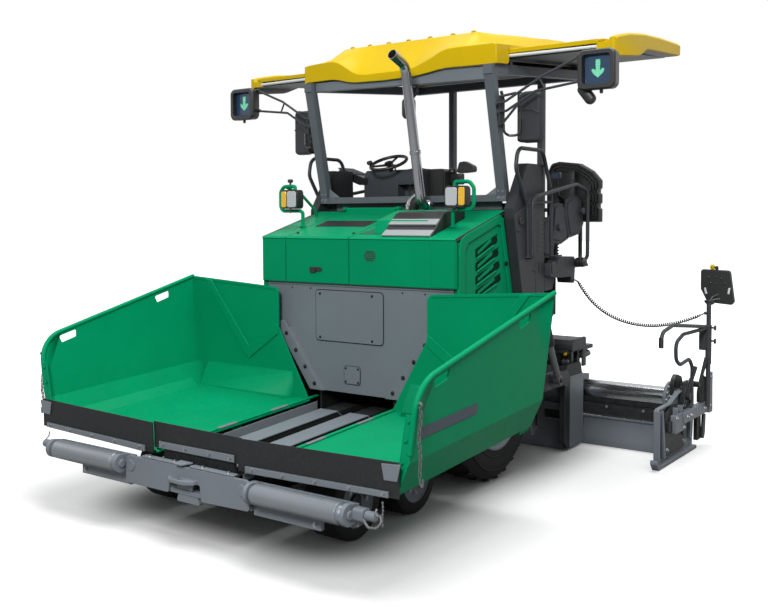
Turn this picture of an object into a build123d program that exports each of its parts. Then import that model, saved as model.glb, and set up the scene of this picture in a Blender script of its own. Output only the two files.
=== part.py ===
"""Asphalt paver on tyres: a tractor with a folding hopper, and an extending screed on tow arms.

Millimetres.  +X is the machine's left, +Z is up, and the machine faces -Y.  The sections below
count Y as a station from the front edge of the hopper; export() then moves everything so that
the origin lies on the ground, midway between the foremost roller and the rearmost walkway edge.
"""

from build123d import *
import os
from math import atan, cos, degrees, hypot, radians, sin, tan

# ---- driving sizes -------------------------------------------------------------------------
gap = 0.3                      # running clearance round pins and between seated pieces
swing_gap = 8.0                # clearance round panels that swing or slide

hopper_length = 1480.0         # front edge to the back of the left wing's rear wall
floor_slope = 0.062            # the hopper floor rises towards the rear
floor_inner_x = 370.0
floor_inner_z = 455.0          # at the front edge
floor_outer_x = 1435.0
floor_outer_z = 490.0
bend_x = 1515.0                # bend between the low side panel and the tall one
bend_z = 660.0
wing_top_x = 1600.0
wing_top_z = 1430.0
wing_sheet = 12.0
wing_stagger = 25.0            # the right rear wall passes in front of the left one
wing_pivot_x = 400.0
wing_pivot_z = 400.0
wing_pin_radius = 18.0

rail_x = 330.0                 # inner face of the frame's longitudinal rails
rail_sheet = 15.0
rail_bottom_z = 250.0
rail_top_z = 380.0
deck_z = 1100.0                # top of the chassis, above the rear tyres

rear_wheel_radius = 540.0
rear_wheel_y = hopper_length + 25 + rear_wheel_radius
rear_tyre_width = 320.0
track_outer_x = 900.0          # outer face of the rear tyres
front_wheel_radius = 230.0
front_tyre_width = 250.0
front_outer_x = 850.0
front_wheel_ys = (460.0, 1070.0)
kingpin_x = 560.0

hood_x = 873.0
hood_front_y = hopper_length + 18
hood_rear_y = 2190.0
hood_bottom_z = 1415.0
hood_front_z = 1750.0
hood_rear_z = 1945.0
hood_sheet = 25.0
wall_y = hopper_length + 50    # front face of the wall between hopper and engine
wall_sheet = 15.0

platform_z = 1500.0
platform_rear_y = 3650.0
platform_x = 870.0

post_x = 830.0
post_size = 70.0
post_foot = (2240.0, 2010.0)   # station and height
post_head = (2030.0, 2950.0)
rear_post_x = 450.0
rear_post_y = 3600.0

roof_x = 880.0
roof_front_y = 2027.0
roof_rear_y = 3700.0
roof_front_z = 2980.0          # lower edge of the front fascia
roof_slope = 0.085
roof_depth = 130.0
roof_sheet = 20.0
roof_reach_x = 1684.0          # outer face of a drawn-out side extension

screed_pivot_y = 1420.0
screed_pivot_z = 420.0
arm_x = 930.0                  # inner face of the tow arms
arm_sheet = 40.0
screed_front_y = 3172.0
screed_depth = 260.0
screed_half = 900.0
screed_foot_z = 0.0
tube_z = 440.0
tube_y = 3572.0
tube_radius = 85.0
gate_x = 1700.0                # inner face of the end gate, screed drawn out
gate_sheet = 25.0
gate_front_y = 2975.0
gate_rear_y = 3830.0
walkway_rear_y = 4330.0
pole_x = 1815.0
pole_y = 3900.0

auger_radius = 150.0
auger_y = rear_wheel_y + rear_wheel_radius + auger_radius + 55
auger_z = 330.0
chassis_rear_y = auger_y + 110  # upper plates; the lower rails stop ahead of the augers
rail_rear_y = auger_y - 190

beam_y = -120.0                # front face of the push beam
roller_y = -135.0
roller_z = 379.0
roller_radius = 60.0
front_reach = roller_y - roller_radius
origin_y = (front_reach + walkway_rear_y) / 2


# ---- small makers --------------------------------------------------------------------------
def block(x0, x1, y0, y1, z0, z1):
    """A box from its six faces."""
    return Pos((x0 + x1) / 2, (y0 + y1) / 2, (z0 + z1) / 2) * Box(x1 - x0, y1 - y0, z1 - z0)


def prism(corners, travel):
    """A flat polygon of 3-D corners, pushed along a vector."""
    outline = Wire.make_polygon([Vector(*c) for c in corners], close=True)
    return Part(Solid.extrude(Face(outline), Vector(*travel)).wrapped)


def prism_x(yz, x0, x1):
    return prism([(x0, y, z) for y, z in yz], (x1 - x0, 0, 0))


def prism_y(xz, y0, y1, rise=0.0):
    return prism([(x, y0, z) for x, z in xz], (0, y1 - y0, rise * (y1 - y0)))


def prism_z(xy, z0, z1):
    return prism([(x, y, z0) for x, y in xy], (0, 0, z1 - z0))


def rod(start, end, radius, bore=0.0):
    """A round bar between two points, hollow if it has a bore."""
    axis = Vector(*end) - Vector(*start)
    place = Plane(origin=start, z_dir=axis)
    bar = extrude(place * Circle(radius), axis.length)
    if bore:
        bar -= extrude(place * Circle(bore), axis.length)
    return bar


def pipe(points, radius, bend):
    """A round bar bent along straight runs and arcs."""
    path = FilletPolyline(*points, radius=bend)
    return sweep(Plane(origin=path @ 0, z_dir=path % 0) * Circle(radius), path=path)


def mirrored(shape):
    return mirror(shape, about=Plane.YZ)


def lathe_x(profile, y, z):
    """A solid of revolution about an axle along X; the profile is (x, radius)."""
    face = Face(Wire.make_polygon([Vector(x, 0, r) for x, r in profile], close=True))
    return Pos(0, y, z) * revolve(face, Axis.X)


nodes = {}


def keep(name, *shapes):
    """Add solids to a node."""
    nodes.setdefault(name, []).extend(shapes)


def floor_z(base, y):
    return base + floor_slope * y


def roof_z(y):
    """Lower edge of the roof at a station."""
    return roof_front_z + roof_slope * (y - roof_front_y)


# ---- main frame ----------------------------------------------------------------------------
lug_ys = (100.0, 640.0, hopper_length - 190)      # front faces of the pairs of wing hinge lugs
lug_sheet = 30.0
sleeve_length = 90.0
lug_radius = 30.0


def wing_lugs():
    """Hinge lugs and pins of the left wing."""
    out = []
    for y in lug_ys:
        for start in (y, y + lug_sheet + sleeve_length + 2 * gap):
            end = start + lug_sheet
            foot = [
                (rail_x + rail_sheet - 1, rail_top_z - 55),
                (rail_x + rail_sheet - 1, rail_top_z),
                (wing_pivot_x - 12, wing_pivot_z + 8),
                (wing_pivot_x + 8, wing_pivot_z - 25),
            ]
            lug = prism_y(foot, start, end)
            lug += rod((wing_pivot_x, start, wing_pivot_z), (wing_pivot_x, end, wing_pivot_z), lug_radius)
            out.append(lug)
        pin_end = y + 2 * lug_sheet + sleeve_length + 2 * gap
        axis = (wing_pivot_x, y, wing_pivot_z), (wing_pivot_x, pin_end, wing_pivot_z)
        out.append(rod(*axis, wing_pin_radius))
    return out


bulkhead_y = 2300.0
under_platform_y = 3050.0      # nothing under the platform reaches behind this
bay_x = hood_x * 0.96
beam_pin_y = -60.0
tie_y = screed_pivot_y + 150
ram_x = 1022.0
ram_foot = (2450.0, 1260.0)

# front cross plate with the apron's carrier, and the tongue and pin of the push beam
front_plate = block(-rail_x + gap, rail_x - gap, 0, 15, rail_bottom_z, rail_top_z)
front_plate += block(-300, 300, -8, 15, rail_top_z - 20, 520)
front_plate += block(-40, 40, beam_pin_y - 30, 1, 300, 345)
front_plate += rod((0, beam_pin_y, 278), (0, beam_pin_y, 368), 20)

# left side frame: rail, chassis plate, hinge lugs, tie-down eye and the tow arm's gusset and pin
rail_outer_x = rail_x + rail_sheet
chassis_front_y = wall_y + wall_sheet
side_frame = block(rail_x, rail_outer_x, 0, rail_rear_y, rail_bottom_z, rail_top_z)
side_frame += block(rail_x, rail_outer_x, chassis_front_y, rail_rear_y, rail_top_z - 10, deck_z - gap)
side_frame += block(rail_x, rail_outer_x, rail_rear_y - 5, chassis_rear_y, 700, deck_z - gap)
for lug in wing_lugs():
    side_frame += lug
gusset_y0 = screed_pivot_y - 28
gusset_y1 = screed_pivot_y + 28
side_frame += block(rail_x + 5, arm_x - gap, gusset_y0, gusset_y1, rail_bottom_z + 10, rail_top_z - 45)
side_frame += block(arm_x - 25, arm_x - gap, gusset_y0, gusset_y1, rail_bottom_z + 10, screed_pivot_z + 45)
side_frame += rod(
    (arm_x - 20, screed_pivot_y, screed_pivot_z), (arm_x + arm_sheet + 20, screed_pivot_y, screed_pivot_z), 30
)
side_frame += block(rail_x + 5, 415, tie_y - 30, tie_y + 30, 255, 275)
side_frame -= rod((380, tie_y, 250), (380, tie_y, 280), 22)

# deck with the bulkhead, the flanges behind the front wall and the lugs of the lift cylinders
deck = block(-bay_x, bay_x, chassis_front_y, under_platform_y, deck_z, deck_z + 12)
deck += block(-bay_x, bay_x, bulkhead_y, bulkhead_y + 12, deck_z, post_foot[1] - 60)
for side in (-1, 1):
    flange = sorted((side * rail_x, side * bay_x))
    deck += block(*flange, chassis_front_y, chassis_front_y + 12, deck_z, hood_bottom_z - 15)
    foot = sorted((side * (bay_x - 60), side * (ram_x - 42)))
    deck += block(*foot, ram_foot[0] - 30, ram_foot[0] + 30, deck_z + 2, deck_z + 26)
    ear = sorted((side * (ram_x - 58), side * (ram_x - 42)))
    deck += block(*ear, ram_foot[0] - 30, ram_foot[0] + 30, deck_z + 2, ram_foot[1] + 30)
    deck += rod((side * (ram_x - 44), *ram_foot), (side * (ram_x + 35), *ram_foot), 20)

# roof of the conveyor tunnel and the chassis's rear plate
tunnel_roof = block(-rail_x + gap, rail_x - gap, chassis_front_y, chassis_rear_y, 700, 712)
tunnel_roof += block(-rail_x + gap, rail_x - gap, chassis_rear_y - 12, chassis_rear_y, 700, deck_z - gap)
keep("main_frame", front_plate, side_frame, mirrored(side_frame), deck, tunnel_roof)

# ---- conveyor ------------------------------------------------------------------------------
conveyor_end_y = auger_y - 200
deck_front_z = 330.0


def conveyor_z(y):
    return deck_front_z + floor_slope * y


bar_inner_x = 62.0
bar_outer_x = 212.0
bar_height = 80.0
slat_x = 300.0
conveyor = prism_x(
    [
        (16, conveyor_z(16) - 10),
        (conveyor_end_y, conveyor_z(conveyor_end_y) - 10),
        (conveyor_end_y, conveyor_z(conveyor_end_y)),
        (16, conveyor_z(16)),
    ],
    -rail_x,
    rail_x,
)
for side in (-1, 1):
    x0, x1 = sorted((side * bar_inner_x, side * bar_outer_x))
    conveyor += prism_x(
        [
            (20, conveyor_z(20) - 5),
            (1700, conveyor_z(1700) - 5),
            (1700, conveyor_z(1700) + bar_height - 30),
            (1640, conveyor_z(1640) + bar_height),
            (20, conveyor_z(20) + bar_height),
        ],
        x0,
        x1,
    )
for y in range(60, 2540, 120):
    conveyor += prism_x(
        [
            (y, conveyor_z(y) - 2),
            (y + 30, conveyor_z(y + 30) - 2),
            (y + 30, conveyor_z(y + 30) + 22),
            (y, conveyor_z(y) + 22),
        ],
        -slat_x,
        slat_x,
    )
keep("conveyor", conveyor)

# ---- front wall between hopper and engine --------------------------------------------------
wall_outline = [
    (-352, 613), (352, 613), (675, 1064), (hood_x - 30, 1112), (hood_x - 30, hood_bottom_z - gap),
    (-hood_x + 30, hood_bottom_z - gap), (-hood_x + 30, 1112), (-675, 1064),
]
wall = prism_y(wall_outline, wall_y, wall_y + wall_sheet)
strip_y = wall_y - 28
for side in (-1, 1):
    strip = [(side * 352, 613), (side * 675, 1064), (side * 615, 1064), (side * 285, 613)]
    wall += prism_y(strip, strip_y, wall_y)
wall += block(-363, 257, wall_y - 4, wall_y, 986, 1362)
wall += block(-99, 48, wall_y - 4, wall_y, 682, 814)

# ---- engine and hood -----------------------------------------------------------------------
keep("engine_block", block(-380, 380, wall_y + 110, 2180, deck_z + 12, 1560))


def hood_z(y):
    """Just clear of the hood's sloping top."""
    slope = (hood_rear_z - hood_front_z) / (hood_rear_y - hood_front_y)
    return hood_front_z + slope * (y - hood_front_y) + gap


lid_x0 = -632.0
lid_x1 = -33.0
lid_gap = 8.0


def hood_section(x0, x1):
    """Front plate and sloping top plate of the hood between two stations across."""
    slope = (hood_rear_z - hood_front_z) / (hood_rear_y - hood_front_y)
    profile = [
        (hood_front_y, hood_bottom_z),
        (hood_front_y, hood_front_z - 16),
        (hood_front_y + 16, hood_front_z + slope * 16),
        (hood_rear_y, hood_rear_z),
        (hood_rear_y, hood_rear_z - hood_sheet),
        (hood_front_y + hood_sheet, hood_front_z + slope * hood_sheet - hood_sheet),
        (hood_front_y + hood_sheet, hood_bottom_z),
    ]
    return prism_x(profile, x0, x1)


corner_panel = hood_section(-hood_x, lid_x0 - lid_gap)
main_panel = hood_section(lid_x1 + lid_gap, hood_x)
door_front_y = wall_y + 5
lid_hinge = (hood_rear_y - 10, hood_rear_z + 20)
bonnet = block(-hood_x, hood_x, hood_rear_y + 6, bulkhead_y - gap, hood_rear_z - hood_sheet, hood_rear_z)
for x in (lid_x0 + 20, lid_x1 - 50):
    bonnet += block(x, x + 30, 2200, 2220, hood_rear_z - 5, hood_rear_z + 36)
    bonnet += block(x, x + 30, 2185, 2220, hood_rear_z + 10, hood_rear_z + 36)
    bonnet += rod((x, *lid_hinge), (x + 30, *lid_hinge), 16)
    bonnet -= rod((x - 5, *lid_hinge), (x + 35, *lid_hinge), 10 + gap)
for panel, x0, x1 in ((corner_panel, -hood_x, lid_x0 - lid_gap), (main_panel, lid_x1 + lid_gap, hood_x)):
    rear = block(x0, x1, hood_rear_y - 20, bulkhead_y, hood_rear_z - hood_sheet, hood_rear_z)
    foot = block(x0, x1, hood_front_y + 5, door_front_y - 2, hood_bottom_z, hood_bottom_z + 15)
    bonnet += panel + rear + foot
keep("hood_panels", bonnet)
lid = hood_section(lid_x0, lid_x1)
lid += block(lid_x0 + 60, lid_x1 - 60, hood_rear_y - 25, hood_rear_y - 4, hood_rear_z - 20, lid_hinge[1])
lid += rod((lid_x0 + 18, *lid_hinge), (lid_x1 - 18, *lid_hinge), 10)
keep("hood_lid", lid)

door_sheet = 25.0
door_top_front = hood_front_z - 28
door_outline = [
    (door_front_y, 1125),
    (door_front_y, door_top_front),
    (2140, door_top_front + 165),
    (2284, 1310),
    (2292, 1125),
]
door = prism_x(door_outline, hood_x - door_sheet, hood_x)
for row in range(4):
    z = 1340 + 95 * row
    rear = 2120 - 14 * row
    slot = prism_x([(1760, z), (rear, z + 105), (rear, z + 155), (1760, z + 50)], 0, 9999)
    door -= Pos(hood_x - 12, 0, 0) * slot
door_axis = (881.0, wall_y)
for z in (1170.0, 1370.0):
    leaf = block(862, door_axis[0], door_axis[1], door_axis[1] + 15, z, z + 45)
    leaf += rod((*door_axis, z), (*door_axis, z + 45), 11)
    door += leaf
    door -= rod((*door_axis, z - 5), (*door_axis, z + 50), 6 + gap)
    lug = block(830, 889, wall_y - 11, wall_y + 2, z - 20, z - gap)
    lug += rod((*door_axis, z - 20), (*door_axis, z + 40), 6)
    wall += lug + mirrored(lug)
keep("front_wall", wall)
keep("side_door_left", door)
keep("side_door_right", mirrored(door))

# ---- exhaust -------------------------------------------------------------------------------
exhaust = pipe([(246, 2100, 1960), (246, 1990, 1990), (246, 1715, 3060), (246, 1640, 3120)], 38, 45)
exhaust_base = [(2040, hood_z(2040)), (2130, hood_z(2130)), (2130, 1990), (2040, 1990)]
keep("exhaust", exhaust + prism_x(exhaust_base, 200, 292))
shield_y = hood_front_y + 102
shield = prism_x(
    [
        (shield_y, hood_z(shield_y) - 9),
        (shield_y + 40, hood_z(shield_y) + 96),
        (shield_y + 300, hood_z(shield_y) + 171),
        (shield_y + 360, hood_z(shield_y) + 141),
        (shield_y + 360, hood_z(shield_y + 360) - 9),
    ],
    120,
    560,
)
keep("hood_panels", shield)

# ---- hopper wings --------------------------------------------------------------------------
wing_edge_radius = 200.0
top_front_z = 1066.0


def wing(rear_wall_y):
    """The left wing: floor, bent side, rear wall and hinge sleeves."""
    s = wing_sheet
    section = [
        (floor_inner_x, floor_inner_z),
        (floor_outer_x, floor_outer_z),
        (bend_x, bend_z),
        (wing_top_x, wing_top_z - floor_slope * hopper_length),
        (wing_top_x + s, wing_top_z - floor_slope * hopper_length),
        (bend_x + s, bend_z - 3),
        (floor_outer_x + 10, floor_outer_z - s),
        (floor_inner_x, floor_inner_z - s),
    ]
    shell = prism_y(section, 0, rear_wall_y, floor_slope)
    slope_z = (wing_top_z - top_front_z) / hopper_length
    tangent = wing_edge_radius * tan((radians(90) - atan(slope_z)) / 2)
    away = [(-50, top_front_z - tangent), (0, top_front_z - tangent)]
    for step in range(1, 6):
        turn = (radians(90) - atan(slope_z)) * step / 5
        away.append(
            (
                wing_edge_radius * (1 - cos(turn)),
                top_front_z - tangent + wing_edge_radius * sin(turn),
            )
        )
    away += [(hopper_length + 90, wing_top_z + slope_z * 90), (hopper_length + 90, 2000), (-50, 2000)]
    shell -= prism_x(away, 1400, 1700)
    wall_floor = floor_z(floor_inner_z, rear_wall_y) - 6
    rear = [
        (wing_top_x + s, wing_top_z - 2),
        (697, 1374), (667, 1344), (667, 1064), (floor_inner_x, wall_floor),
        (floor_outer_x + 8, floor_z(floor_outer_z, rear_wall_y) - 6),
        (bend_x + s, floor_z(bend_z, rear_wall_y) - 3),
    ]
    shell += prism_y(rear, rear_wall_y - s, rear_wall_y)
    band_y = hopper_length - 130
    band = [
        (band_y, floor_z(floor_inner_z, band_y) - 3),
        (rear_wall_y - s / 2, floor_z(floor_inner_z, rear_wall_y) - 3),
        (rear_wall_y - s / 2, floor_z(floor_outer_z, rear_wall_y) + 173),
        (band_y, floor_z(floor_outer_z, band_y)),
    ]
    shell += prism_x(band, 530, floor_outer_x)
    edge = [(wing_top_x + 6, rear_wall_y - 2, wing_top_z - 4), (1572, 8, top_front_z - 4), (1522, 8, 700)]
    shell += pipe(edge, 16, wing_edge_radius)
    # front flange, and the angle that the apron is bolted to
    flange = [
        (floor_outer_x - 45, 485), (bend_x - 50, 660), (bend_x - 10, 905), (bend_x + 32, 905),
        (bend_x, 660), (floor_outer_x, 485),
    ]
    shell += prism_y(flange, 0, 10)
    shell += prism_y([(490, 449), (1400, 480), (1400, 530), (490, 505)], -31, 6)
    out = [shell]
    for y in lug_ys:
        start = y + lug_sheet + gap
        end = start + sleeve_length
        centre = wing_pivot_x
        sleeve = rod((centre, start, wing_pivot_z), (centre, end, wing_pivot_z), 28)
        under = floor_inner_z - s - gap
        web = [(start, wing_pivot_z), (end, wing_pivot_z), (end, floor_z(under, end))]
        web.append((start, floor_z(under, start)))
        sleeve += prism_x(web, centre - 12, centre + 12)
        sleeve -= rod(
            (centre, start - 1, wing_pivot_z), (centre, end + 1, wing_pivot_z), wing_pin_radius + gap
        )
        out.append(sleeve)
    return out


keep("wing_left", *wing(hopper_length))
keep("wing_right", *[mirrored(piece) for piece in wing(hopper_length - wing_stagger)])

# ---- rubber apron --------------------------------------------------------------------------
outer_apron = prism_y([(385, 483), (1440, 507), (1478, 660), (385, 628)], -39, -31 - gap)
outer_clip = prism_y([(400, 487), (1395, 509), (1395, 540), (400, 518)], -46, -39 - gap)
keep("apron_left", outer_apron, outer_clip)
keep("apron_right", mirrored(outer_apron), mirrored(outer_clip))
keep("apron_middle", block(-360, 360, -16, -8 - gap, 483, 626), block(-350, 350, -23, -16 - gap, 486, 520))

# ---- push beam and rollers -----------------------------------------------------------------
roller_inner_x = 573.0
roller_outer_x = 1215.0
beam_top_z = 424.0              # passes under the wings and aprons as the beam swings
beam = block(-526, 526, beam_y, beam_y + 20, 262, 450)
beam -= block(-130, 130, beam_y - 5, beam_y + 30, 250, 350)
beam += block(-400, 400, beam_y + 10, -75, beam_top_z - 12, beam_top_z)
for z in (280, 345 + gap):
    beam += block(-45, 45, beam_y + 5, beam_pin_y + 30, z, z + 20 - gap)
beam -= rod((0, beam_pin_y, 270), (0, beam_pin_y, 375), 20 + gap)
for side in (-1, 1):
    beam += block(*sorted((side * 526, side * 1010)), -80, -50, 235, 300)
    beam += block(*sorted((side * 500, side * 1250)), -68, -50, 290, beam_top_z)
    beam += block(*sorted((side * 500, side * 526)), beam_y, -50, 262, beam_top_z)
    for x in (roller_inner_x - 28, roller_outer_x + 3):
        x0, x1 = sorted((side * x, side * (x + 25)))
        beam += block(x0, x1, roller_y - 30, -60, roller_z - 35, roller_z + 35)
    beam += rod((side * (roller_inner_x - 10), roller_y, roller_z), (side * 1225, roller_y, roller_z), 18)
    beam += rod((side * 476, beam_y - 6, 373), (side * 476, beam_y + 2, 373), 27)
hitch_bore = 20.0
hitch_y = beam_y - 25
beam += block(-115, 115, hitch_y - 35, beam_y + 5, 350, 372)
beam -= rod((0, hitch_y, 340), (0, hitch_y, 380), hitch_bore)
keep("push_beam", beam)
roller_ends = (roller_inner_x + gap, roller_y, roller_z), (roller_outer_x - gap, roller_y, roller_z)
roller = rod(*roller_ends, roller_radius, 18 + gap)
keep("push_roller_left", roller)
keep("push_roller_right", mirrored(roller))

# ---- front axle, knuckles and wheels -------------------------------------------------------
bogie_y = sum(front_wheel_ys) / 2
axle = block(-500, 500, bogie_y - 60, bogie_y + 60, 180, rail_bottom_z - gap)
for side in (-1, 1):
    x0, x1 = sorted((side * 440, side * 500))
    axle += block(x0, x1, front_wheel_ys[0] - 30, front_wheel_ys[1] + 30, 170, 290)
    for y in front_wheel_ys:
        ear = sorted((side * 480, side * (kingpin_x + 22)))
        axle += block(*ear, y - 30, y + 30, 290, 310)
        axle += block(*ear, y - 30, y + 30, 150, 170)
keep("front_axle", axle)

hub_bore = 30.0
tyre_face_x = front_outer_x - front_tyre_width
front_wheel_profile = [
    (tyre_face_x, 150), (tyre_face_x, front_wheel_radius - 12), (tyre_face_x + 12, front_wheel_radius),
    (front_outer_x - 12, front_wheel_radius), (front_outer_x, front_wheel_radius - 12), (front_outer_x, 170),
    (front_outer_x - 8, 165), (front_outer_x - 8, 150), (front_outer_x - 60, 140), (front_outer_x - 60, 60),
    (front_outer_x - 20, 55), (front_outer_x - 20, hub_bore + gap), (tyre_face_x + 70, hub_bore + gap),
    (tyre_face_x + 70, 60), (front_outer_x - 80, 60), (front_outer_x - 80, 140), (tyre_face_x + 10, 150),
]
positions = {"front": front_wheel_ys[0], "mid": front_wheel_ys[1]}
for place, y in positions.items():
    wheel = lathe_x(front_wheel_profile, y, front_wheel_radius)
    keep(f"{place}_wheel_left", wheel)
    keep(f"{place}_wheel_right", mirrored(wheel))
    knuckle = rod((kingpin_x, y, 170 + gap), (kingpin_x, y, 290 - gap), 28)
    knuckle += rod((kingpin_x, y, front_wheel_radius), (front_outer_x - 25, y, front_wheel_radius), hub_bore)
    knuckle += rod(
        (tyre_face_x + 20, y, front_wheel_radius), (tyre_face_x + 70 - gap, y, front_wheel_radius), 55
    )
    keep(f"{place}_knuckle_left", knuckle)
    keep(f"{place}_knuckle_right", mirrored(knuckle))

# ---- rear axle and wheels ------------------------------------------------------------------
rear_face_x = track_outer_x - rear_tyre_width
rear_hub_radius = 90.0
rear_wheel_profile = [
    (rear_face_x, 300), (rear_face_x, 440), (rear_face_x + 30, rear_wheel_radius - 15),
    (rear_face_x + 60, rear_wheel_radius), (track_outer_x - 60, rear_wheel_radius),
    (track_outer_x - 30, rear_wheel_radius - 15), (track_outer_x, 440), (track_outer_x, 300),
    (track_outer_x - 15, 275), (track_outer_x - 40, 265), (track_outer_x - 90, 240),
    (track_outer_x - 90, rear_hub_radius + gap), (track_outer_x - 120, rear_hub_radius + gap),
    (track_outer_x - 120, 240), (rear_face_x + 40, 265), (rear_face_x + 15, 275),
]
rear_wheel = lathe_x(rear_wheel_profile, rear_wheel_y, rear_wheel_radius)
keep("rear_wheel_left", rear_wheel)
keep("rear_wheel_right", mirrored(rear_wheel))
for side in (-1, 1):
    start = (side * (rail_x + rail_sheet + gap), rear_wheel_y, rear_wheel_radius)
    drive = rod(start, (side * (rear_face_x + 60), rear_wheel_y, rear_wheel_radius), 170)
    drive += rod(start, (side * (track_outer_x - 60), rear_wheel_y, rear_wheel_radius), rear_hub_radius)
    keep("rear_axle", drive)

# ---- augers --------------------------------------------------------------------------------
for side, name in ((1, "auger_left"), (-1, "auger_right")):
    screw = rod((side * 70, auger_y, auger_z), (side * 840, auger_y, auger_z), 45, 20 + gap)
    for turn in range(9):
        x = side * (110 + 86 * turn)
        lean = Vector(1, 0.25, 0.0)
        disc = Plane(origin=(x, auger_y, auger_z), z_dir=lean) * Circle(auger_radius)
        screw += extrude(disc, 5, both=True) - rod(
            (x - 60, auger_y, auger_z), (x + 60, auger_y, auger_z), 40
        )
    keep(name, screw)
carrier = block(-60, 60, auger_y - 70, auger_y + 70, auger_z - 90, auger_z + 90)
carrier += block(-40, 40, auger_y - 40, auger_y + 40, auger_z + 60, 640)
carrier += block(-860, 860, auger_y - 30, auger_y + 30, 560, 640)
carrier += block(-rail_x, rail_x, auger_y - 30, chassis_rear_y - 20, 600, 700 - gap)
for side in (-1, 1):
    carrier += block(*sorted((side * 845, side * 862)), auger_y - 60, auger_y + 60, auger_z - 60, 640)
    carrier += rod((side * 50, auger_y, auger_z), (side * 850, auger_y, auger_z), 20)
keep("auger_frame", carrier)

# ---- platform and operator's stations ------------------------------------------------------
platform_front_y = bulkhead_y + 12 + gap
floor_plate = block(-platform_x, platform_x, platform_front_y, platform_rear_y, platform_z - 25, platform_z)
floor_plate += block(-860, 860, under_platform_y - 20, under_platform_y, deck_z + 12 + gap, platform_z - 20)
for side in (-1, 1):
    x0, x1 = sorted((side * 480, side * 500))
    floor_plate += block(x0, x1, 2400, under_platform_y - 10, deck_z + 12 + gap, platform_z - 20)
    floor_plate += block(x0, x1, 2400, 3600, platform_z - 100, platform_z - 20)
keep("platform", floor_plate)

side_body = prism_x(
    [
        (2302, 1130), (2292, 1310), (2165, 1890), (2165, 1960), (2380, 2290), (2640, 2290),
        (2660, platform_z), (2660, 1130),
    ],
    875,
    950,
)
side_body += block(700, 880, 2320, 2650, platform_z + gap, 2000)
keep("side_body", side_body, mirrored(side_body))
low_side = block(platform_x + gap, 1000, 2670, 3150, 1300, platform_z + 60)
low_side -= block(940, 1010, 2760, 3050, 1380, 1500)
keep("platform", low_side, mirrored(low_side))

console = block(-870, -250, 2670, 2880, 2090, 2300)
console += block(-700, -400, 2690, 2860, platform_z + gap, 2100)
console += prism_x([(2630, 2250), (2680, 2330), (2880, 2330), (2880, 2250)], -870, -250)
console += rod((-560, 2740, 2290), (-560, 2700, 2357), 24)
keep("console", console)
wheel_ring = Pos(-560, 2660, 2424) * (Rot(30.8, 0, 0) * Torus(185, 14))
wheel_ring += Pos(-560, 2660, 2424) * (Rot(30.8, 0, 0) * (Box(370, 24, 12) + Cylinder(30, 40)))
wheel_ring += rod((-560, 2660, 2424), (-560, 2699.8, 2357.4), 18)
keep("steering_wheel", wheel_ring)


def seat(board_front_y):
    """The left seat on its slide, with its guard board outboard."""
    unit = block(770, 1040, 2900, 3190, 1800, 1900)
    unit += prism_x([(3150, 1830), (3230, 1830), (3300, 2360), (3220, 2360)], 772, 1050)
    unit += block(800, 1000, 2960, 3160, platform_z + 72, 1805)
    unit += block(1030, 1100, board_front_y, 3250, platform_z + 72, 2140)
    return unit


keep("seat_left", seat(2700))
keep("seat_right", mirrored(seat(2890)))      # stays behind the console
for side in (-1, 1):
    for y in (2970, 3110):
        runner = sorted((side * 500, side * platform_x))
        keep("platform", block(*runner, y, y + 40, platform_z + gap, platform_z + 72 - gap))

rail_loops = pipe(
    [(967.3, 2360, 1600), (967.3, 2360, 2400), (967.3, 2640, 2440), (967.3, 2640, 1600)], 17, 60
)
keep("handrails", rail_loops, mirrored(rail_loops))
rail_y = rear_post_y - 30 - 19 - gap
rail_foot_z = platform_z + gap
rear_rail = pipe(
    [(-840, rail_y, rail_foot_z), (-840, rail_y, 2500), (840, rail_y, 2500), (840, rail_y, rail_foot_z)],
    19,
    80,
)
keep("handrails", rear_rail)

# ---- canopy --------------------------------------------------------------------------------
half = post_size / 2
canopy = block(-post_x - half, post_x + half, post_foot[0] - half, post_foot[0] + half, 2010, 2060)
canopy += block(-780, 780, bulkhead_y - 1, bulkhead_y + 12, post_foot[1] - 60 + gap, 2040)
canopy += block(-780, 780, post_foot[0], bulkhead_y + 12, 2020, 2050)
post = prism_x(
    [
        (post_foot[0] - half, post_foot[1]),
        (post_foot[0] + half, post_foot[1]),
        (post_head[0] + half, post_head[1]),
        (post_head[0] - half, post_head[1]),
    ],
    post_x - half,
    post_x + half,
)
side_beam = prism_x(
    [
        (post_head[0] - half, roof_z(post_head[0] - half) - 70),
        (rear_post_y + 60, roof_z(rear_post_y + 60) - 70),
        (rear_post_y + 60, roof_z(rear_post_y + 60) - gap),
        (post_head[0] - half, roof_z(post_head[0] - half) - gap),
    ],
    post_x - half,
    post_x + half,
)
canopy += post + mirrored(post) + side_beam + mirrored(side_beam)
canopy += block(-post_x, post_x, 2070, 2130, roof_z(2070) - 70, roof_z(2070) - 2)
head_z = roof_z(rear_post_y)
canopy += block(-post_x, post_x, rear_post_y - 30, rear_post_y + 30, head_z - 70, head_z - 4)
for side in (-1, 1):
    canopy += block(
        *sorted((side * (rear_post_x - 25), side * (rear_post_x + 25))),
        rear_post_y - 30, rear_post_y + 30, platform_z + gap, head_z - 20,
    )

ext_front_y = 2215.0
ext_rear_y = 3540.0
skin = roof_depth - roof_sheet


def roof_layer(y0, y1, low, high, x0, x1):
    """A sheet parallel to the roof, between two heights above its lower edge."""
    front, rear = roof_z(y0), roof_z(y1)
    return prism_x([(y0, front + low), (y1, rear + low), (y1, rear + high), (y0, front + high)], x0, x1)


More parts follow.
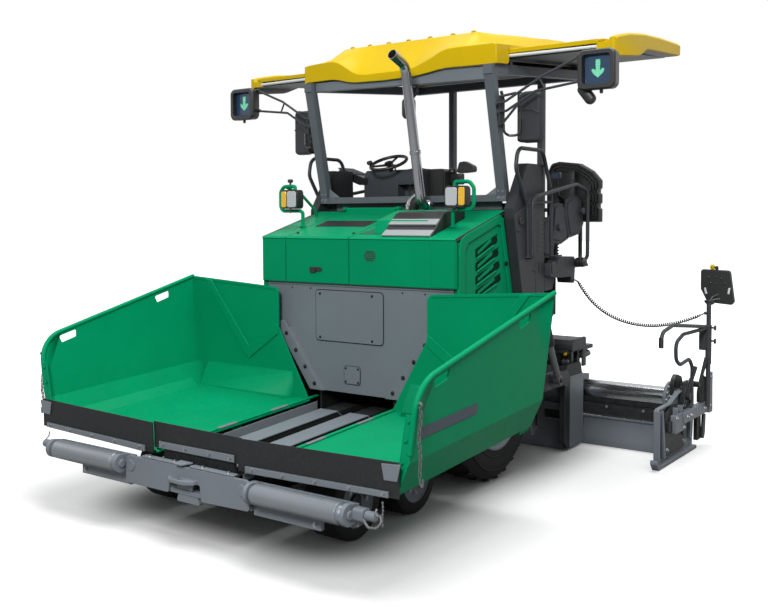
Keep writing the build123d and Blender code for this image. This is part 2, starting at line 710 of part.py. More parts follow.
roof = roof_layer(roof_front_y, roof_rear_y, skin, roof_depth, -roof_x, roof_x)
roof += roof_layer(roof_front_y, roof_front_y + 130, 0, roof_depth, -roof_x, roof_x)
roof += roof_layer(roof_rear_y - 100, roof_rear_y, 0, roof_depth, -roof_x, roof_x)
roof += roof_layer(roof_front_y + 60, roof_rear_y - 60, roof_depth - 5, roof_depth + 85, -700, 700)
roof += prism_z([(-600, 1870), (600, 1870), (720, 2050), (-720, 2050)], 2935, 3110)
keep("roof_shell", roof)

for y in (ext_front_y + 50, ext_rear_y - 90):
    pad = roof_layer(y, y + 40, -5, 30 - gap, post_x - half, post_x + half)
    canopy += pad + mirrored(pad)
keep("canopy_frame", canopy)

ext = roof_layer(ext_front_y, ext_rear_y, 30, 75, 750, roof_reach_x - 20)
ext += roof_layer(ext_front_y, ext_rear_y, 0, 105, roof_reach_x - 44, roof_reach_x)
ext += roof_layer(ext_front_y + 300, ext_rear_y, 60, 130, roof_reach_x - 44, roof_reach_x)
keep("roof_extension_left", ext)
keep("roof_extension_right", mirrored(ext))

# ---- lamps, displays, mirrors --------------------------------------------------------------
lamp_x, lamp_y, lamp_z = 772.0, 1730.0, 2040.0
lamp = block(lamp_x - 85, lamp_x + 85, lamp_y - 45, lamp_y + 45, lamp_z - 75, lamp_z + 75)
lamp += pipe(
    [
        (lamp_x - 60, lamp_y + 60, 1850), (lamp_x - 60, lamp_y + 60, lamp_z - 90),
        (lamp_x + 110, lamp_y + 10, lamp_z - 90), (lamp_x + 110, lamp_y, lamp_z + 95),
        (lamp_x - 30, lamp_y, lamp_z + 95),
    ],
    14,
    30,
)
lamp += block(lamp_x - 60, lamp_x - 20, lamp_y - 12, lamp_y + 12, lamp_z + 60, lamp_z + 105)
lamp_foot_z = hood_z(lamp_y + 60) + 4
lamp += rod((lamp_x - 60, lamp_y + 60, lamp_foot_z), (lamp_x - 60, lamp_y + 60, 1860), 16)
keep("work_lamps", lamp, mirrored(lamp))

display = block(1485, 1755, 2040, 2150, 2750, 3000)
display -= block(1510, 1730, 2030, 2100, 2775, 2975)
keep("arrow_displays", display, mirrored(display))
post_side = post_x + half
for y, z in ((2088, 2645), (2073, 2704), (2108, 2560)):
    clamp = block(post_side + gap, post_side + 14, y - 24, y + 24, z - 20, z + 20)
    keep("mirror_arms", clamp, mirrored(clamp))
post_side = post_side + 14 + gap
arm_low = pipe([(post_side, 2090, 2640), (910, 2091, 2640), (1150, 2110, 2780), (1483, 2110, 2820)], 12, 20)
arm_high = pipe([(post_side, 2075, 2700), (910, 2076, 2700), (1200, 2110, 2900), (1482, 2110, 2960)], 12, 20)
mirror_run = [(post_side, 2110, 2560), (920, 2111, 2560), (1060, 2200, 2560), (1060, 2230, 2450)]
mirror_arm = pipe(mirror_run, 12, 20)
mirror_back = block(965, 1150, 2195, 2235, 2420, 2790)
arms = arm_low + arm_high
keep("mirror_arms", arms, mirrored(arms))
keep("mirror_arms", mirror_back + mirror_arm, mirrored(mirror_back + mirror_arm))

# ---- screed --------------------------------------------------------------------------------
arm_outline = [
    (screed_pivot_y - 60, screed_pivot_z - 60), (screed_pivot_y - 60, screed_pivot_z + 60),
    (1800, 560), (2600, 690), (2900, 690), (3180, 620), (3420, 620), (3420, 480), (3172, 480), (2900, 560),
    (2600, 560), (1800, 430), (screed_pivot_y + 60, screed_pivot_z - 60),
]
arm = prism_x(arm_outline, arm_x, arm_x + arm_sheet)
pivot = (screed_pivot_y, screed_pivot_z)
arm -= rod((arm_x - 1, *pivot), (arm_x + arm_sheet + 1, *pivot), 30 + gap)
ram_eye = (2760.0, 640.0)
arm += rod((arm_x + arm_sheet - 5, *ram_eye), (ram_x + 35, *ram_eye), 17)
arm += rod((arm_x + arm_sheet - 5, *ram_eye), (ram_x - 25 - gap, *ram_eye), 32)
keep("screed_arms", arm, mirrored(arm))

main_rear_y = screed_front_y + screed_depth
base = block(-screed_half, screed_half, screed_front_y, main_rear_y, screed_foot_z, 40)
base += block(-screed_half, screed_half, screed_front_y, screed_front_y + 20, 20, 360)
base += block(-screed_half, screed_half, screed_front_y, main_rear_y, 340, 370)
base += block(-screed_half, screed_half, main_rear_y - 20, main_rear_y, 20, 360)
for side in (-1, 1):
    x0, x1 = sorted((side * screed_half, side * (screed_half + 29.7)))
    base += block(x0, x1, screed_front_y, main_rear_y, 20, 600)
bracket_top = tube_z + tube_radius + 30
for x in (-screed_half + 30, screed_half - 70):
    base += block(x, x + 40, main_rear_y - 20, tube_y + tube_radius + 30, 345, bracket_top)
base -= rod((-1000, tube_y, tube_z), (1000, tube_y, tube_z), tube_radius + gap)
base += block(-30, 30, main_rear_y - 20, tube_y + 100, 345, tube_z + 94)
keep("screed_base", base)
walkway = block(-880, 880, screed_front_y + 60, 3740, 760, 800)
walkway += block(-880, 880, 3700, walkway_rear_y, 700, 730)
for x in (-800, 760):
    walkway += block(x, x + 40, screed_front_y + 60, main_rear_y - 20, 370 + gap, 770)
    walkway += block(x, x + 40, 3700, 3740, 700, 790)
keep("screed_walkway", walkway)

ext_y0 = main_rear_y + 6
ext_y1 = 3820.0
unit = block(930, gate_x, ext_y0, ext_y1, screed_foot_z, 40)
unit += block(930, gate_x, ext_y0, ext_y0 + 15, 20, 335)
unit += block(930, gate_x, ext_y1 - 15, ext_y1, 20, 335)
unit += block(gate_x - 30, gate_x, ext_y0, ext_y1, 20, 560)
unit += rod((790, tube_y, tube_z), (gate_x - 5, tube_y, tube_z), tube_radius, 60)
unit += rod((1600, tube_y, tube_z), (1625, tube_y, tube_z), 132)
keep("screed_extension_left", unit)
keep("screed_extension_right", mirrored(unit))

gate = prism_x(
    [
        (gate_front_y, 20), (gate_front_y, 480), (3090, 587), (3500, 560),
        (gate_rear_y, 420), (gate_rear_y, 20),
    ],
    gate_x + gap,
    gate_x + gate_sheet,
)
gate += block(gate_x + gap, gate_x + 40, gate_front_y - 3, gate_rear_y, 0, 22)
gate += block(gate_x + gate_sheet - 2, pole_x + 30, 3600, 3640, 360, 420)
gate += block(pole_x - 30, pole_x + 30, 3600, pole_y + 20, 360, 420)
gate += rod((pole_x, pole_y, 330), (pole_x, pole_y, 1240), 20)
brace = [(gate_x + 17, 3450, 540), (gate_x + 17, 3450, 900), (gate_x + 60, 3600, 1060), (pole_x, pole_y, 1110)]
gate += pipe(brace, 16, 60)
gate += block(pole_x - 80, pole_x + 198, pole_y + 40, pole_y + 85, 1175, 1510)
gate += block(pole_x - 20, pole_x + 20, pole_y, pole_y + 50, 1190, 1235)
keep("end_gate_left", gate)
keep("end_gate_right", mirrored(gate))

# ---- cylinders -----------------------------------------------------------------------------
ram_run = Vector(0, ram_eye[0] - ram_foot[0], ram_eye[1] - ram_foot[1])
ram_way = ram_run.normalized()
print("ram length", round(ram_run.length, 1))


def along(start, distance):
    """A point on the cylinder's axis, measured from its foot."""
    return tuple(Vector(*start) + ram_way * distance)


for side in (-1, 1):
    foot = (side * ram_x, *ram_foot)
    barrel = rod(along(foot, 0), along(foot, 368), 38)
    barrel += rod((side * (ram_x - 25), *ram_foot), (side * (ram_x + 25), *ram_foot), 36)
    barrel -= rod(along(foot, 52), along(foot, 400), 26)
    barrel -= rod((side * (ram_x - 60), *ram_foot), (side * (ram_x + 60), *ram_foot), 20 + gap)
    piston = rod(along(foot, ram_run.length - 356), along(foot, ram_run.length - 25), 25)
    piston += rod((side * (ram_x - 25), *ram_eye), (side * (ram_x + 25), *ram_eye), 36)
    piston -= rod((side * (ram_x - 60), *ram_eye), (side * (ram_x + 60), *ram_eye), 20 + gap)
    keep("lift_barrels", barrel)
    keep("lift_rods", piston)

# ---- curly cord ----------------------------------------------------------------------------
cord_route = [
    (1000 + gap, 3080, 1395), (1030, 3080, 1395), (1058, 3112, 1328), (1105, 3165, 1235), (1170, 3235, 1150),
    (1245, 3320, 1085), (1330, 3415, 1040), (1420, 3520, 1015), (1515, 3625, 1012), (1610, 3735, 1030),
    (pole_x - 115, pole_y - 75, 1062),
    (pole_x - 33, pole_y - 16, 1102),
]
cord_radius = 11.0
cord_bends = []
for a, b, c in zip(cord_route, cord_route[1:], cord_route[2:]):
    run_in = Vector(*b) - Vector(*a)
    run_out = Vector(*c) - Vector(*b)
    shorter = min(run_in.length, run_out.length)
    cord_bends.append(0.45 * shorter / tan(radians(run_in.get_angle(run_out)) / 2))
print("cord radii", [round(r) for r in cord_bends])
cord_path = FilletPolyline(*cord_route, radius=cord_bends)
cord = sweep(Plane(origin=cord_path @ 0, z_dir=cord_path % 0) * Circle(cord_radius), path=cord_path)
print("cord length", round(cord_path.length))
keep("curly_cord", cord)


def export():
    """Write each node, moved so that the origin lies midway along the machine."""
    os.makedirs("parts", exist_ok=True)
    for name, shapes in nodes.items():
        moved = [Pos(0, -origin_y, 0) * shape for shape in shapes]
        solids = [solid for shape in moved for solid in shape.solids()]
        export_step(Compound(children=solids), f"parts/{name}.step")


export()
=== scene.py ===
from math import atan2, cos, hypot, pi, radians, sin, tan

import bmesh
import bpy
from mathutils import Matrix, Vector


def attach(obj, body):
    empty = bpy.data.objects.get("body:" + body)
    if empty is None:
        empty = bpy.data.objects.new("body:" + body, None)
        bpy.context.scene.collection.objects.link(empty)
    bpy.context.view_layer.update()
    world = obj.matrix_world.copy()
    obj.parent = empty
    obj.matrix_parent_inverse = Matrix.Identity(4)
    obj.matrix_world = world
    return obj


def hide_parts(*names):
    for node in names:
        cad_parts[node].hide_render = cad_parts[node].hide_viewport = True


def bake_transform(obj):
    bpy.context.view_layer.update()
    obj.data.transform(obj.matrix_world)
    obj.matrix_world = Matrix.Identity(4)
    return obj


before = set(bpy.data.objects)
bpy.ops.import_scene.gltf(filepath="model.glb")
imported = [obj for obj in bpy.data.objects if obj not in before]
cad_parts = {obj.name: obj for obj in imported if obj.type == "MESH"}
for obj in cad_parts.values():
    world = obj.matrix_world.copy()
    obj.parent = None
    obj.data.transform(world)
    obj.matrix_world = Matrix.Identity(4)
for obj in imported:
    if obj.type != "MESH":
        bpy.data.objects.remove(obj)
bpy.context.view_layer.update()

# Camera: a 44.5 mm lens at eye height, ahead of the machine's left front corner, looking a little
# down over the open hopper.
heading, dip, roll = radians(35.791), radians(2.787), radians(-0.2135)
backward = Vector((sin(heading) * cos(dip), -cos(heading) * cos(dip), sin(dip)))
level = Vector((cos(heading), sin(heading), 0))
upward = backward.cross(level)
across = level * cos(roll) + upward * sin(roll)
upward = upward * cos(roll) - level * sin(roll)
lens = bpy.data.cameras.new("camera")
lens.sensor_width = 36.0
lens.lens = 44.53
lens.shift_x = -0.00422
lens.shift_y = -0.05829
lens.clip_end = 100
camera = bpy.data.objects.new("camera", lens)
bpy.context.scene.collection.objects.link(camera)
camera.matrix_world = Matrix.Translation((4.2039, -5.9655, 1.9036)) @ Matrix((
    (across.x, upward.x, backward.x, 0), (across.y, upward.y, backward.y, 0),
    (across.z, upward.z, backward.z, 0), (0, 0, 0, 1)))
bpy.context.scene.camera = camera
bpy.context.scene.view_settings.view_transform = "Standard"


# Floor, backdrop and lamps: a pale studio floor that keeps the machine's soft shadow and fades into white
# away from it, with a painted shadow under the machine; a large soft key lamp ahead of the machine, one
# overhead, and an even surround.
def linear(code, alpha=1.0):
    """An sRGB hex colour as linear numbers."""
    parts = [int(code[i:i + 2], 16) / 255 for i in (1, 3, 5)]
    return tuple([c / 12.92 if c <= 0.04045 else ((c + 0.055) / 1.055) ** 2.4 for c in parts] + [alpha])


def add(tree, kind, inputs=None, **settings):
    """Adds a node to a tree with its settings and links."""
    made = tree.nodes.new(kind)
    for key, value in settings.items():
        setattr(made, key, value)
    for key, value in (inputs or {}).items():
        if isinstance(value, bpy.types.NodeSocket):
            tree.links.new(value, made.inputs[key])
        else:
            made.inputs[key].default_value = value
    return made


floor_mesh = bpy.data.meshes.new("floor")
floor_mesh.from_pydata([(-60, -60, 0), (60, -60, 0), (60, 60, 0), (-60, 60, 0)], [], [(0, 1, 2, 3)])
floor = bpy.data.objects.new("floor", floor_mesh)
bpy.context.scene.collection.objects.link(floor)
floor.location.z = -0.0005
paper = bpy.data.materials.new("white_floor")
paper.use_nodes = True
tree = paper.node_tree
tree.nodes.clear()
place = add(tree, "ShaderNodeTexCoord").outputs["Object"]
away = add(tree, "ShaderNodeVectorMath", {0: place}, operation="LENGTH")
far = add(tree, "ShaderNodeMapRange", {"Value": away.outputs["Value"], 1: 2.6, 2: 6.5, 3: 0.0, 4: 0.5},
    interpolation_type="SMOOTHSTEP")
# Painted shadow: the floor's glow fades out over a rounded box around the machine's footprint, so the floor
# is darker there under any lamp.
shifted = add(tree, "ShaderNodeVectorMath", {0: place, 1: (0, -0.27, 0)}, operation="SUBTRACT")
mirrored = add(tree, "ShaderNodeVectorMath", {0: shifted.outputs[0]}, operation="ABSOLUTE")
beyond = add(tree, "ShaderNodeVectorMath", {0: mirrored.outputs[0], 1: (0.65, 1.35, 1)},
    operation="SUBTRACT")
outside = add(tree, "ShaderNodeVectorMath", {0: beyond.outputs[0], 1: (0, 0, 0)}, operation="MAXIMUM")
clearance = add(tree, "ShaderNodeVectorMath", {0: outside.outputs[0]}, operation="LENGTH")
near = add(tree, "ShaderNodeMapRange", {"Value": clearance.outputs["Value"], 1: 0.2, 2: 0.75, 3: 0.0,
    4: 0.5}, interpolation_type="SMOOTHSTEP")
glow_around_painted_shadow = add(tree, "ShaderNodeMath", {0: far.outputs[0], 1: near.outputs[0]}, operation="ADD")
seen = add(tree, "ShaderNodeLightPath")
onto = add(tree, "ShaderNodeMix", {"Factor": seen.outputs["Is Diffuse Ray"], "A": linear("#F6F6F6"),
    "B": linear("#ABABAB")}, data_type="RGBA")
matt = add(tree, "ShaderNodeBsdfDiffuse", {"Color": onto.outputs["Result"]})
glow = add(tree, "ShaderNodeEmission", {"Color": linear("#FFFFFF"), "Strength": glow_around_painted_shadow.outputs[0]})
lift = add(tree, "ShaderNodeMixShader", {"Fac": seen.outputs["Is Camera Ray"], 2: glow.outputs[0]})
both = add(tree, "ShaderNodeAddShader", {0: matt.outputs[0], 1: lift.outputs[0]})
add(tree, "ShaderNodeOutputMaterial", {"Surface": both.outputs[0]})
floor_mesh.materials.append(paper)

surround = bpy.data.worlds.new("surround")
bpy.context.scene.world = surround
surround.use_nodes = True
tree = surround.node_tree
tree.nodes.clear()
seen = add(tree, "ShaderNodeLightPath")
clear = add(tree, "ShaderNodeMath", {0: seen.outputs["Is Camera Ray"],
    1: seen.outputs["Is Transmission Ray"]}, operation="MAXIMUM")
either = add(tree, "ShaderNodeMath", {0: clear.outputs[0], 1: seen.outputs["Is Glossy Ray"]},
    operation="MAXIMUM")
fill = add(tree, "ShaderNodeBackground", {"Color": linear("#FFFFFF"), "Strength": 0.32})
white = add(tree, "ShaderNodeBackground", {"Color": linear("#FFFFFF"), "Strength": 1.0})
mixed = add(tree, "ShaderNodeMixShader", {"Fac": either.outputs[0], 1: fill.outputs[0],
    2: white.outputs[0]})
add(tree, "ShaderNodeOutputWorld", {"Surface": mixed.outputs[0]})

# Only the overhead lamp's soft shadow falls on the floor.
off_floor = bpy.data.collections.new("off_floor")
off_floor.objects.link(floor)
off_floor.collection_objects[0].light_linking.link_state = "EXCLUDE"
for name, place, aim, size, power in (
    ("key", (3.6, -8.8, 5.8), (0, 0, 1.0), 2.2, 750),
    ("overhead", (0.8, 1.5, 14.5), (0, -0.5, 0.5), 9.0, 1450),
    ("side", (5.5, -1.0, 9.0), (0, 0, 1.2), 3.0, 320),
    ("far_side", (-7.5, -3.5, 4.0), (0, 0, 1.0), 3.5, 40),
):
    lamp = bpy.data.lights.new(name, "AREA")
    lamp.shape = "DISK"
    lamp.size = size
    lamp.energy = power
    hung = bpy.data.objects.new(name, lamp)
    bpy.context.scene.collection.objects.link(hung)
    hung.location = place
    hung.rotation_euler = (Vector(aim) - Vector(place)).to_track_quat("-Z", "Y").to_euler()
    if name != "overhead":
        hung.light_linking.receiver_collection = off_floor


# Hopper wings: folded from 12 mm plate, welded, and sprayed green. The rear wall carries a pressed
# V-shaped rib, two hand slots are cut below the rolled edge, and a dark stripe runs outside.
midway = 2067.5          # the frame's origin, in mm rearwards of the wings' front edge


def at(x, y, z):
    """A place on the machine from mm: across to its left, rearwards of the wings' front edge, up."""
    return Vector((x / 1000, (y - midway) / 1000, z / 1000))


def slab(shape, outline, travel, finish=0):
    """Adds a flat outline of places in mm, pushed along a vector."""
    low = [shape.verts.new(at(*p)) for p in outline]
    high = [shape.verts.new(at(*[a + b for a, b in zip(p, travel)])) for p in outline]
    faces = [shape.faces.new(low), shape.faces.new(high[::-1])]
    for i in range(len(low)):
        j = (i + 1) % len(low)
        faces.append(shape.faces.new((low[i], high[i], high[j], low[j])))
    for face in faces:
        face.material_index = finish


def slab_x(shape, yz, x0, x1, finish=0):
    """Adds an outline of (rearwards, up) between two places across."""
    slab(shape, [(x0, y, z) for y, z in yz], (x1 - x0, 0, 0), finish)


def slab_y(shape, xz, y0, y1, finish=0, rise=0.0):
    """Adds an outline of (across, up) between two places rearwards, rising as it goes back."""
    slab(shape, [(x, y0, z) for x, z in xz], (0, y1 - y0, rise * (y1 - y0)), finish)


def rounded(corners, radius, steps=4):
    """A flat outline with its corners turned to arcs; a radius may be given for each corner."""
    out = []
    count = len(corners)
    for i, (x, y) in enumerate(corners):
        r = radius[i] if isinstance(radius, (list, tuple)) else radius
        here = Vector((x, y))
        back = (Vector(corners[i - 1]) - here).normalized()
        on = (Vector(corners[(i + 1) % count]) - here).normalized()
        half = back.angle(on) / 2
        if not r or half > radians(89):
            out.append((x, y))
            continue
        middle = here + (back + on).normalized() * (r / sin(half))
        start = here + back * (r / tan(half)) - middle
        turn = start.angle_signed(here + on * (r / tan(half)) - middle)
        for k in range(steps + 1):
            a = -turn * k / steps
            out.append((middle.x + start.x * cos(a) - start.y * sin(a), middle.y + start.x * sin(a)
                + start.y * cos(a)))
    return out


def skin(shape, rings):
    """Joins rings of places, one to the next."""
    faces = []
    for one, two in zip(rings, rings[1:]):
        for k in range(len(one)):
            j = (k + 1) % len(one)
            faces.append(shape.faces.new((one[k], two[k], two[j], one[j])))
    return faces


def tube(shape, points, radius, bend=0.0, sides=12, finish=0, steps=5):
    """Adds a round bar along straight runs, with arcs at its corners."""
    places = [at(*p) for p in points]
    path = [places[0]]
    for a, b, c in zip(places, places[1:], places[2:]):
        back, on = (a - b).normalized(), (c - b).normalized()
        half = back.angle(on) / 2
        if not bend or half > radians(89):
            path.append(b)
            continue
        reach = min(bend / 1000 / tan(half), 0.45 * (a - b).length, 0.45 * (c - b).length)
        middle = b + (back + on).normalized() * (reach / cos(half))
        start = b + back * reach - middle
        end = b + on * reach - middle
        for k in range(steps + 1):
            path.append(middle + start.normalized().slerp(end.normalized(), k / steps) * start.length)
    path.append(places[-1])
    facing = (path[1] - path[0]).normalized()
    side = facing.orthogonal().normalized()
    rings = []
    for i, point in enumerate(path):
        on = (path[min(i + 1, len(path) - 1)] - path[max(i - 1, 0)]).normalized()
        side = (side - on * side.dot(on)).normalized()
        over = on.cross(side)
        r = (radius[min(i, len(radius) - 1)] if isinstance(radius, (list, tuple)) else radius) / 1000
        rings.append([shape.verts.new(point + (side * cos(2 * pi * k / sides)
            + over * sin(2 * pi * k / sides)) * r) for k in range(sides)])
    for face in [shape.faces.new(rings[0]), shape.faces.new(rings[-1][::-1])] + skin(shape, rings):
        face.material_index = finish


def make(name, shape, body, materials, bevel=2.0, replaces=(), side=1, smooth=35):
    """Turns a built shape into a piece that rides on a body; side -1 mirrors it to the right."""
    if side < 0:
        bmesh.ops.scale(shape, vec=(-1, 1, 1), verts=shape.verts)
    bmesh.ops.recalc_face_normals(shape, faces=shape.faces)
    mesh = bpy.data.meshes.new(name)
    shape.to_mesh(mesh)
    shape.free()
    for finish in materials if isinstance(materials, (list, tuple)) else [materials]:
        mesh.materials.append(finish)
    mesh.shade_smooth()
    mesh.set_sharp_from_angle(angle=radians(smooth))
    piece = bpy.data.objects.new(name, mesh)
    bpy.context.scene.collection.objects.link(piece)
    if bevel:
        edges = piece.modifiers.new("edges", "BEVEL")
        edges.width = bevel / 1000
        edges.segments = 2
        edges.limit_method = "ANGLE"
        edges.angle_limit = radians(40)
        edges.harden_normals = True
    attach(piece, body)
    if replaces:
        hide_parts(*replaces)
    return piece


def material(name):
    """A new material with its tree, its shader and the place that its patterns read."""
    made = bpy.data.materials.new(name)
    made.use_nodes = True
    tree = made.node_tree
    return made, tree, tree.nodes["Principled BSDF"], add(tree, "ShaderNodeTexCoord").outputs["Object"]


# Paint: two-pack enamel sprayed on steel. Its gloss is even with a fine orange peel, edges turn a little
# paler, partly as rubbed wear and partly as a painted highlight, and road dust lies low down and in broad
# faint patches.
def enamel(name, colour, rough=0.38, dust=0.22, edge=0.3, shine=0.3):
    """A sprayed paint of one colour; edge is how far its edges turn paler, as rubbed wear and as a painted
    highlight.
    """
    made, tree, shader, place = material(name)
    patches = add(tree, "ShaderNodeTexNoise", {"Vector": place, "Scale": 1.6, "Detail": 5.0,
        "Roughness": 0.6})
    tone = add(tree, "ShaderNodeMapRange", {"Value": patches.outputs["Fac"], 1: 0.3, 2: 0.7, 3: 0.93,
        4: 1.06})
    base = add(tree, "ShaderNodeHueSaturation", {"Color": linear(colour), "Value": tone.outputs[0]})
    fine = add(tree, "ShaderNodeTexNoise", {"Vector": place, "Scale": 24.0, "Detail": 6.0,
        "Roughness": 0.7})
    height = add(tree, "ShaderNodeSeparateXYZ", {"Vector": place})
    low = add(tree, "ShaderNodeMapRange", {"Value": height.outputs["Z"], 1: 1.1, 2: 0.1, 3: 0.1, 4: 1.0})
    grime = add(tree, "ShaderNodeMapRange", {"Value": fine.outputs["Fac"], 1: 0.42, 2: 0.72, 3: 0.0,
        4: dust})
    lying = add(tree, "ShaderNodeMath", {0: low.outputs[0], 1: grime.outputs[0]}, operation="MULTIPLY")
    dusty = add(tree, "ShaderNodeMix", {"Factor": lying.outputs[0], "A": base.outputs[0],
        "B": linear("#8B8679")}, data_type="RGBA")
    # Paler edges, partly rubbed wear and partly a painted highlight: found where the bevelled normal leans
    # away from the true one.
    wide = add(tree, "ShaderNodeBevel", {"Radius": 0.006}, samples=3)
    flat = add(tree, "ShaderNodeNewGeometry")
    facing = add(tree, "ShaderNodeVectorMath", {0: wide.outputs[0], 1: flat.outputs["Normal"]},
        operation="DOT_PRODUCT")
    paler_edge_wear_and_highlight = add(tree, "ShaderNodeMapRange", {"Value": facing.outputs["Value"], 1: 0.985, 2: 0.80, 3: 0.0,
        4: edge})
    paler = add(tree, "ShaderNodeMix", {"Factor": paler_edge_wear_and_highlight.outputs[0], "A": dusty.outputs["Result"],
        "B": (1, 1, 1, 1)}, data_type="RGBA", blend_type="SOFT_LIGHT")
    tree.links.new(paler.outputs["Result"], shader.inputs["Base Color"])
    gloss = add(tree, "ShaderNodeMapRange", {"Value": fine.outputs["Fac"], 1: 0.3, 2: 0.7, 3: rough - 0.05,
        4: rough + 0.1})
    tree.links.new(gloss.outputs[0], shader.inputs["Roughness"])
    shader.inputs["Specular IOR Level"].default_value = shine
    peel = add(tree, "ShaderNodeTexNoise", {"Vector": place, "Scale": 260.0, "Detail": 2.0})
    bump = add(tree, "ShaderNodeBump", {"Height": peel.outputs["Fac"], "Strength": 0.08, "Distance": 0.001,
        "Normal": wide.outputs[0]})
    tree.links.new(bump.outputs[0], shader.inputs["Normal"])
    return made


floor_slope = 0.062
hopper_length = 1480
edge_front_z, edge_rear_z = 1066, 1430
fall = (edge_rear_z - edge_front_z) / hopper_length
slot_starts = (150, 1032)
slot_length = 150


def bolt_tree():
    """Geometry Nodes that set one small item out on points, turned to each point's own angle."""
    tree = bpy.data.node_groups.new("set_out", "GeometryNodeTree")
    for name, kind, way in (("Points", "NodeSocketGeometry", "INPUT"), ("Item", "NodeSocketObject",
            "INPUT"), ("Material", "NodeSocketMaterial", "INPUT"), ("Pieces", "NodeSocketGeometry",
            "OUTPUT")):
        tree.interface.new_socket(name, in_out=way, socket_type=kind)
    given = add(tree, "NodeGroupInput")
    item = add(tree, "GeometryNodeObjectInfo", {"Object": given.outputs["Item"]},
        transform_space="ORIGINAL")
    turn = add(tree, "GeometryNodeInputNamedAttribute", {"Name": "turn"}, data_type="FLOAT_VECTOR")
    size = add(tree, "GeometryNodeInputNamedAttribute", {"Name": "size"}, data_type="FLOAT")
    angle = add(tree, "FunctionNodeEulerToRotation", {0: turn.outputs["Attribute"]})
    copies = add(tree, "GeometryNodeInstanceOnPoints", {
        "Points": given.outputs["Points"], "Instance": item.outputs["Geometry"],
        "Rotation": angle.outputs[0], "Scale": size.outputs["Attribute"]})
    real = add(tree, "GeometryNodeRealizeInstances", {"Geometry": copies.outputs[0]})
    coat = add(tree, "GeometryNodeSetMaterial", {"Geometry": real.outputs[0],
        "Material": given.outputs["Material"]})
    add(tree, "NodeGroupOutput", {0: coat.outputs[0]})
    return tree


set_out = bolt_tree()


def repeat(name, item, spots, body, finish, side=1):
    """Sets an item (built in metres about its own origin, +Z outwards) out on (place, turn, size) spots."""
    bmesh.ops.recalc_face_normals(item, faces=item.faces)
    pattern_mesh = bpy.data.meshes.new("pattern")
    item.to_mesh(pattern_mesh)
    item.free()
    pattern_mesh.shade_smooth()
    pattern_mesh.set_sharp_from_angle(angle=radians(35))
    pattern = bpy.data.objects.new("pattern", pattern_mesh)
    mesh = bpy.data.meshes.new("spots")
    mesh.from_pydata([(p[0] * side, p[1], p[2]) for p, turn, size in spots], [], [])
    mesh.attributes.new("turn", "FLOAT_VECTOR", "POINT")
    mesh.attributes.new("size", "FLOAT", "POINT")
    turns = [(turn[0], turn[1] * side, turn[2] * side) for p, turn, size in spots]
    mesh.attributes["turn"].data.foreach_set("vector", [angle for turn in turns for angle in turn])
    mesh.attributes["size"].data.foreach_set("value", [size for p, turn, size in spots])
    carrier = bpy.data.objects.new("spots", mesh)
    bpy.context.scene.collection.objects.link(carrier)
    laid = carrier.modifiers.new("laid", "NODES")
    laid.node_group = set_out
    for socket in set_out.interface.items_tree:
        if socket.name == "Item":
            laid[socket.identifier] = pattern
        if socket.name == "Material":
            laid[socket.identifier] = finish
    bpy.context.view_layer.update()
    made = bpy.data.meshes.new_from_object(carrier.evaluated_get(bpy.context.evaluated_depsgraph_get()))
    bpy.data.objects.remove(carrier)
    bpy.data.objects.remove(pattern)
    piece = bpy.data.objects.new(name, made)
    bpy.context.scene.collection.objects.link(piece)
    made.set_sharp_from_angle(angle=radians(35))
    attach(piece, body)
    return piece


def bolt_head(radius=0.011, sides=6):
    """A hexagon head on a washer, standing on the XY plane."""
    item = bmesh.new()
    for r, low, high, count in ((radius * 1.5, 0.0, 0.003, 16), (radius, 0.003, 0.011, sides)):
        ring = bmesh.ops.create_cone(item, cap_ends=True, segments=count, radius1=r, radius2=r * 0.94,
            depth=high - low)
        bmesh.ops.translate(item, vec=(0, 0, (low + high) / 2), verts=ring["verts"])
    return item


# Chain steel: its zinc has gone dull, and the links' rims are paler, as worn zinc and as a painted
# highlight.
dull_steel = enamel("dull_chain_steel", "#54585B", rough=0.42, dust=0.1, edge=0.5, shine=0.5)
# Green enamel: deep and even, a little paler along its edges, as rubbed wear and as a painted highlight.
green = enamel("green_enamel", "#00875A", rough=0.4, dust=0.03, edge=0.35, shine=0.05)
# Grey enamel: the flat machine grey of the parts that wear.
grey = enamel("grey_enamel", "#6C737A", rough=0.45, dust=0.08, shine=0.25)
facing_front = (pi / 2, 0, 0)


def top_edge(y):
    """Height of a wing's top edge."""
    return edge_front_z + fall * y


def side_x(y, z):
    """Outer face of a wing's tall side panel."""
    return 1527 + (z - 657 - floor_slope * y) * 85 / 678


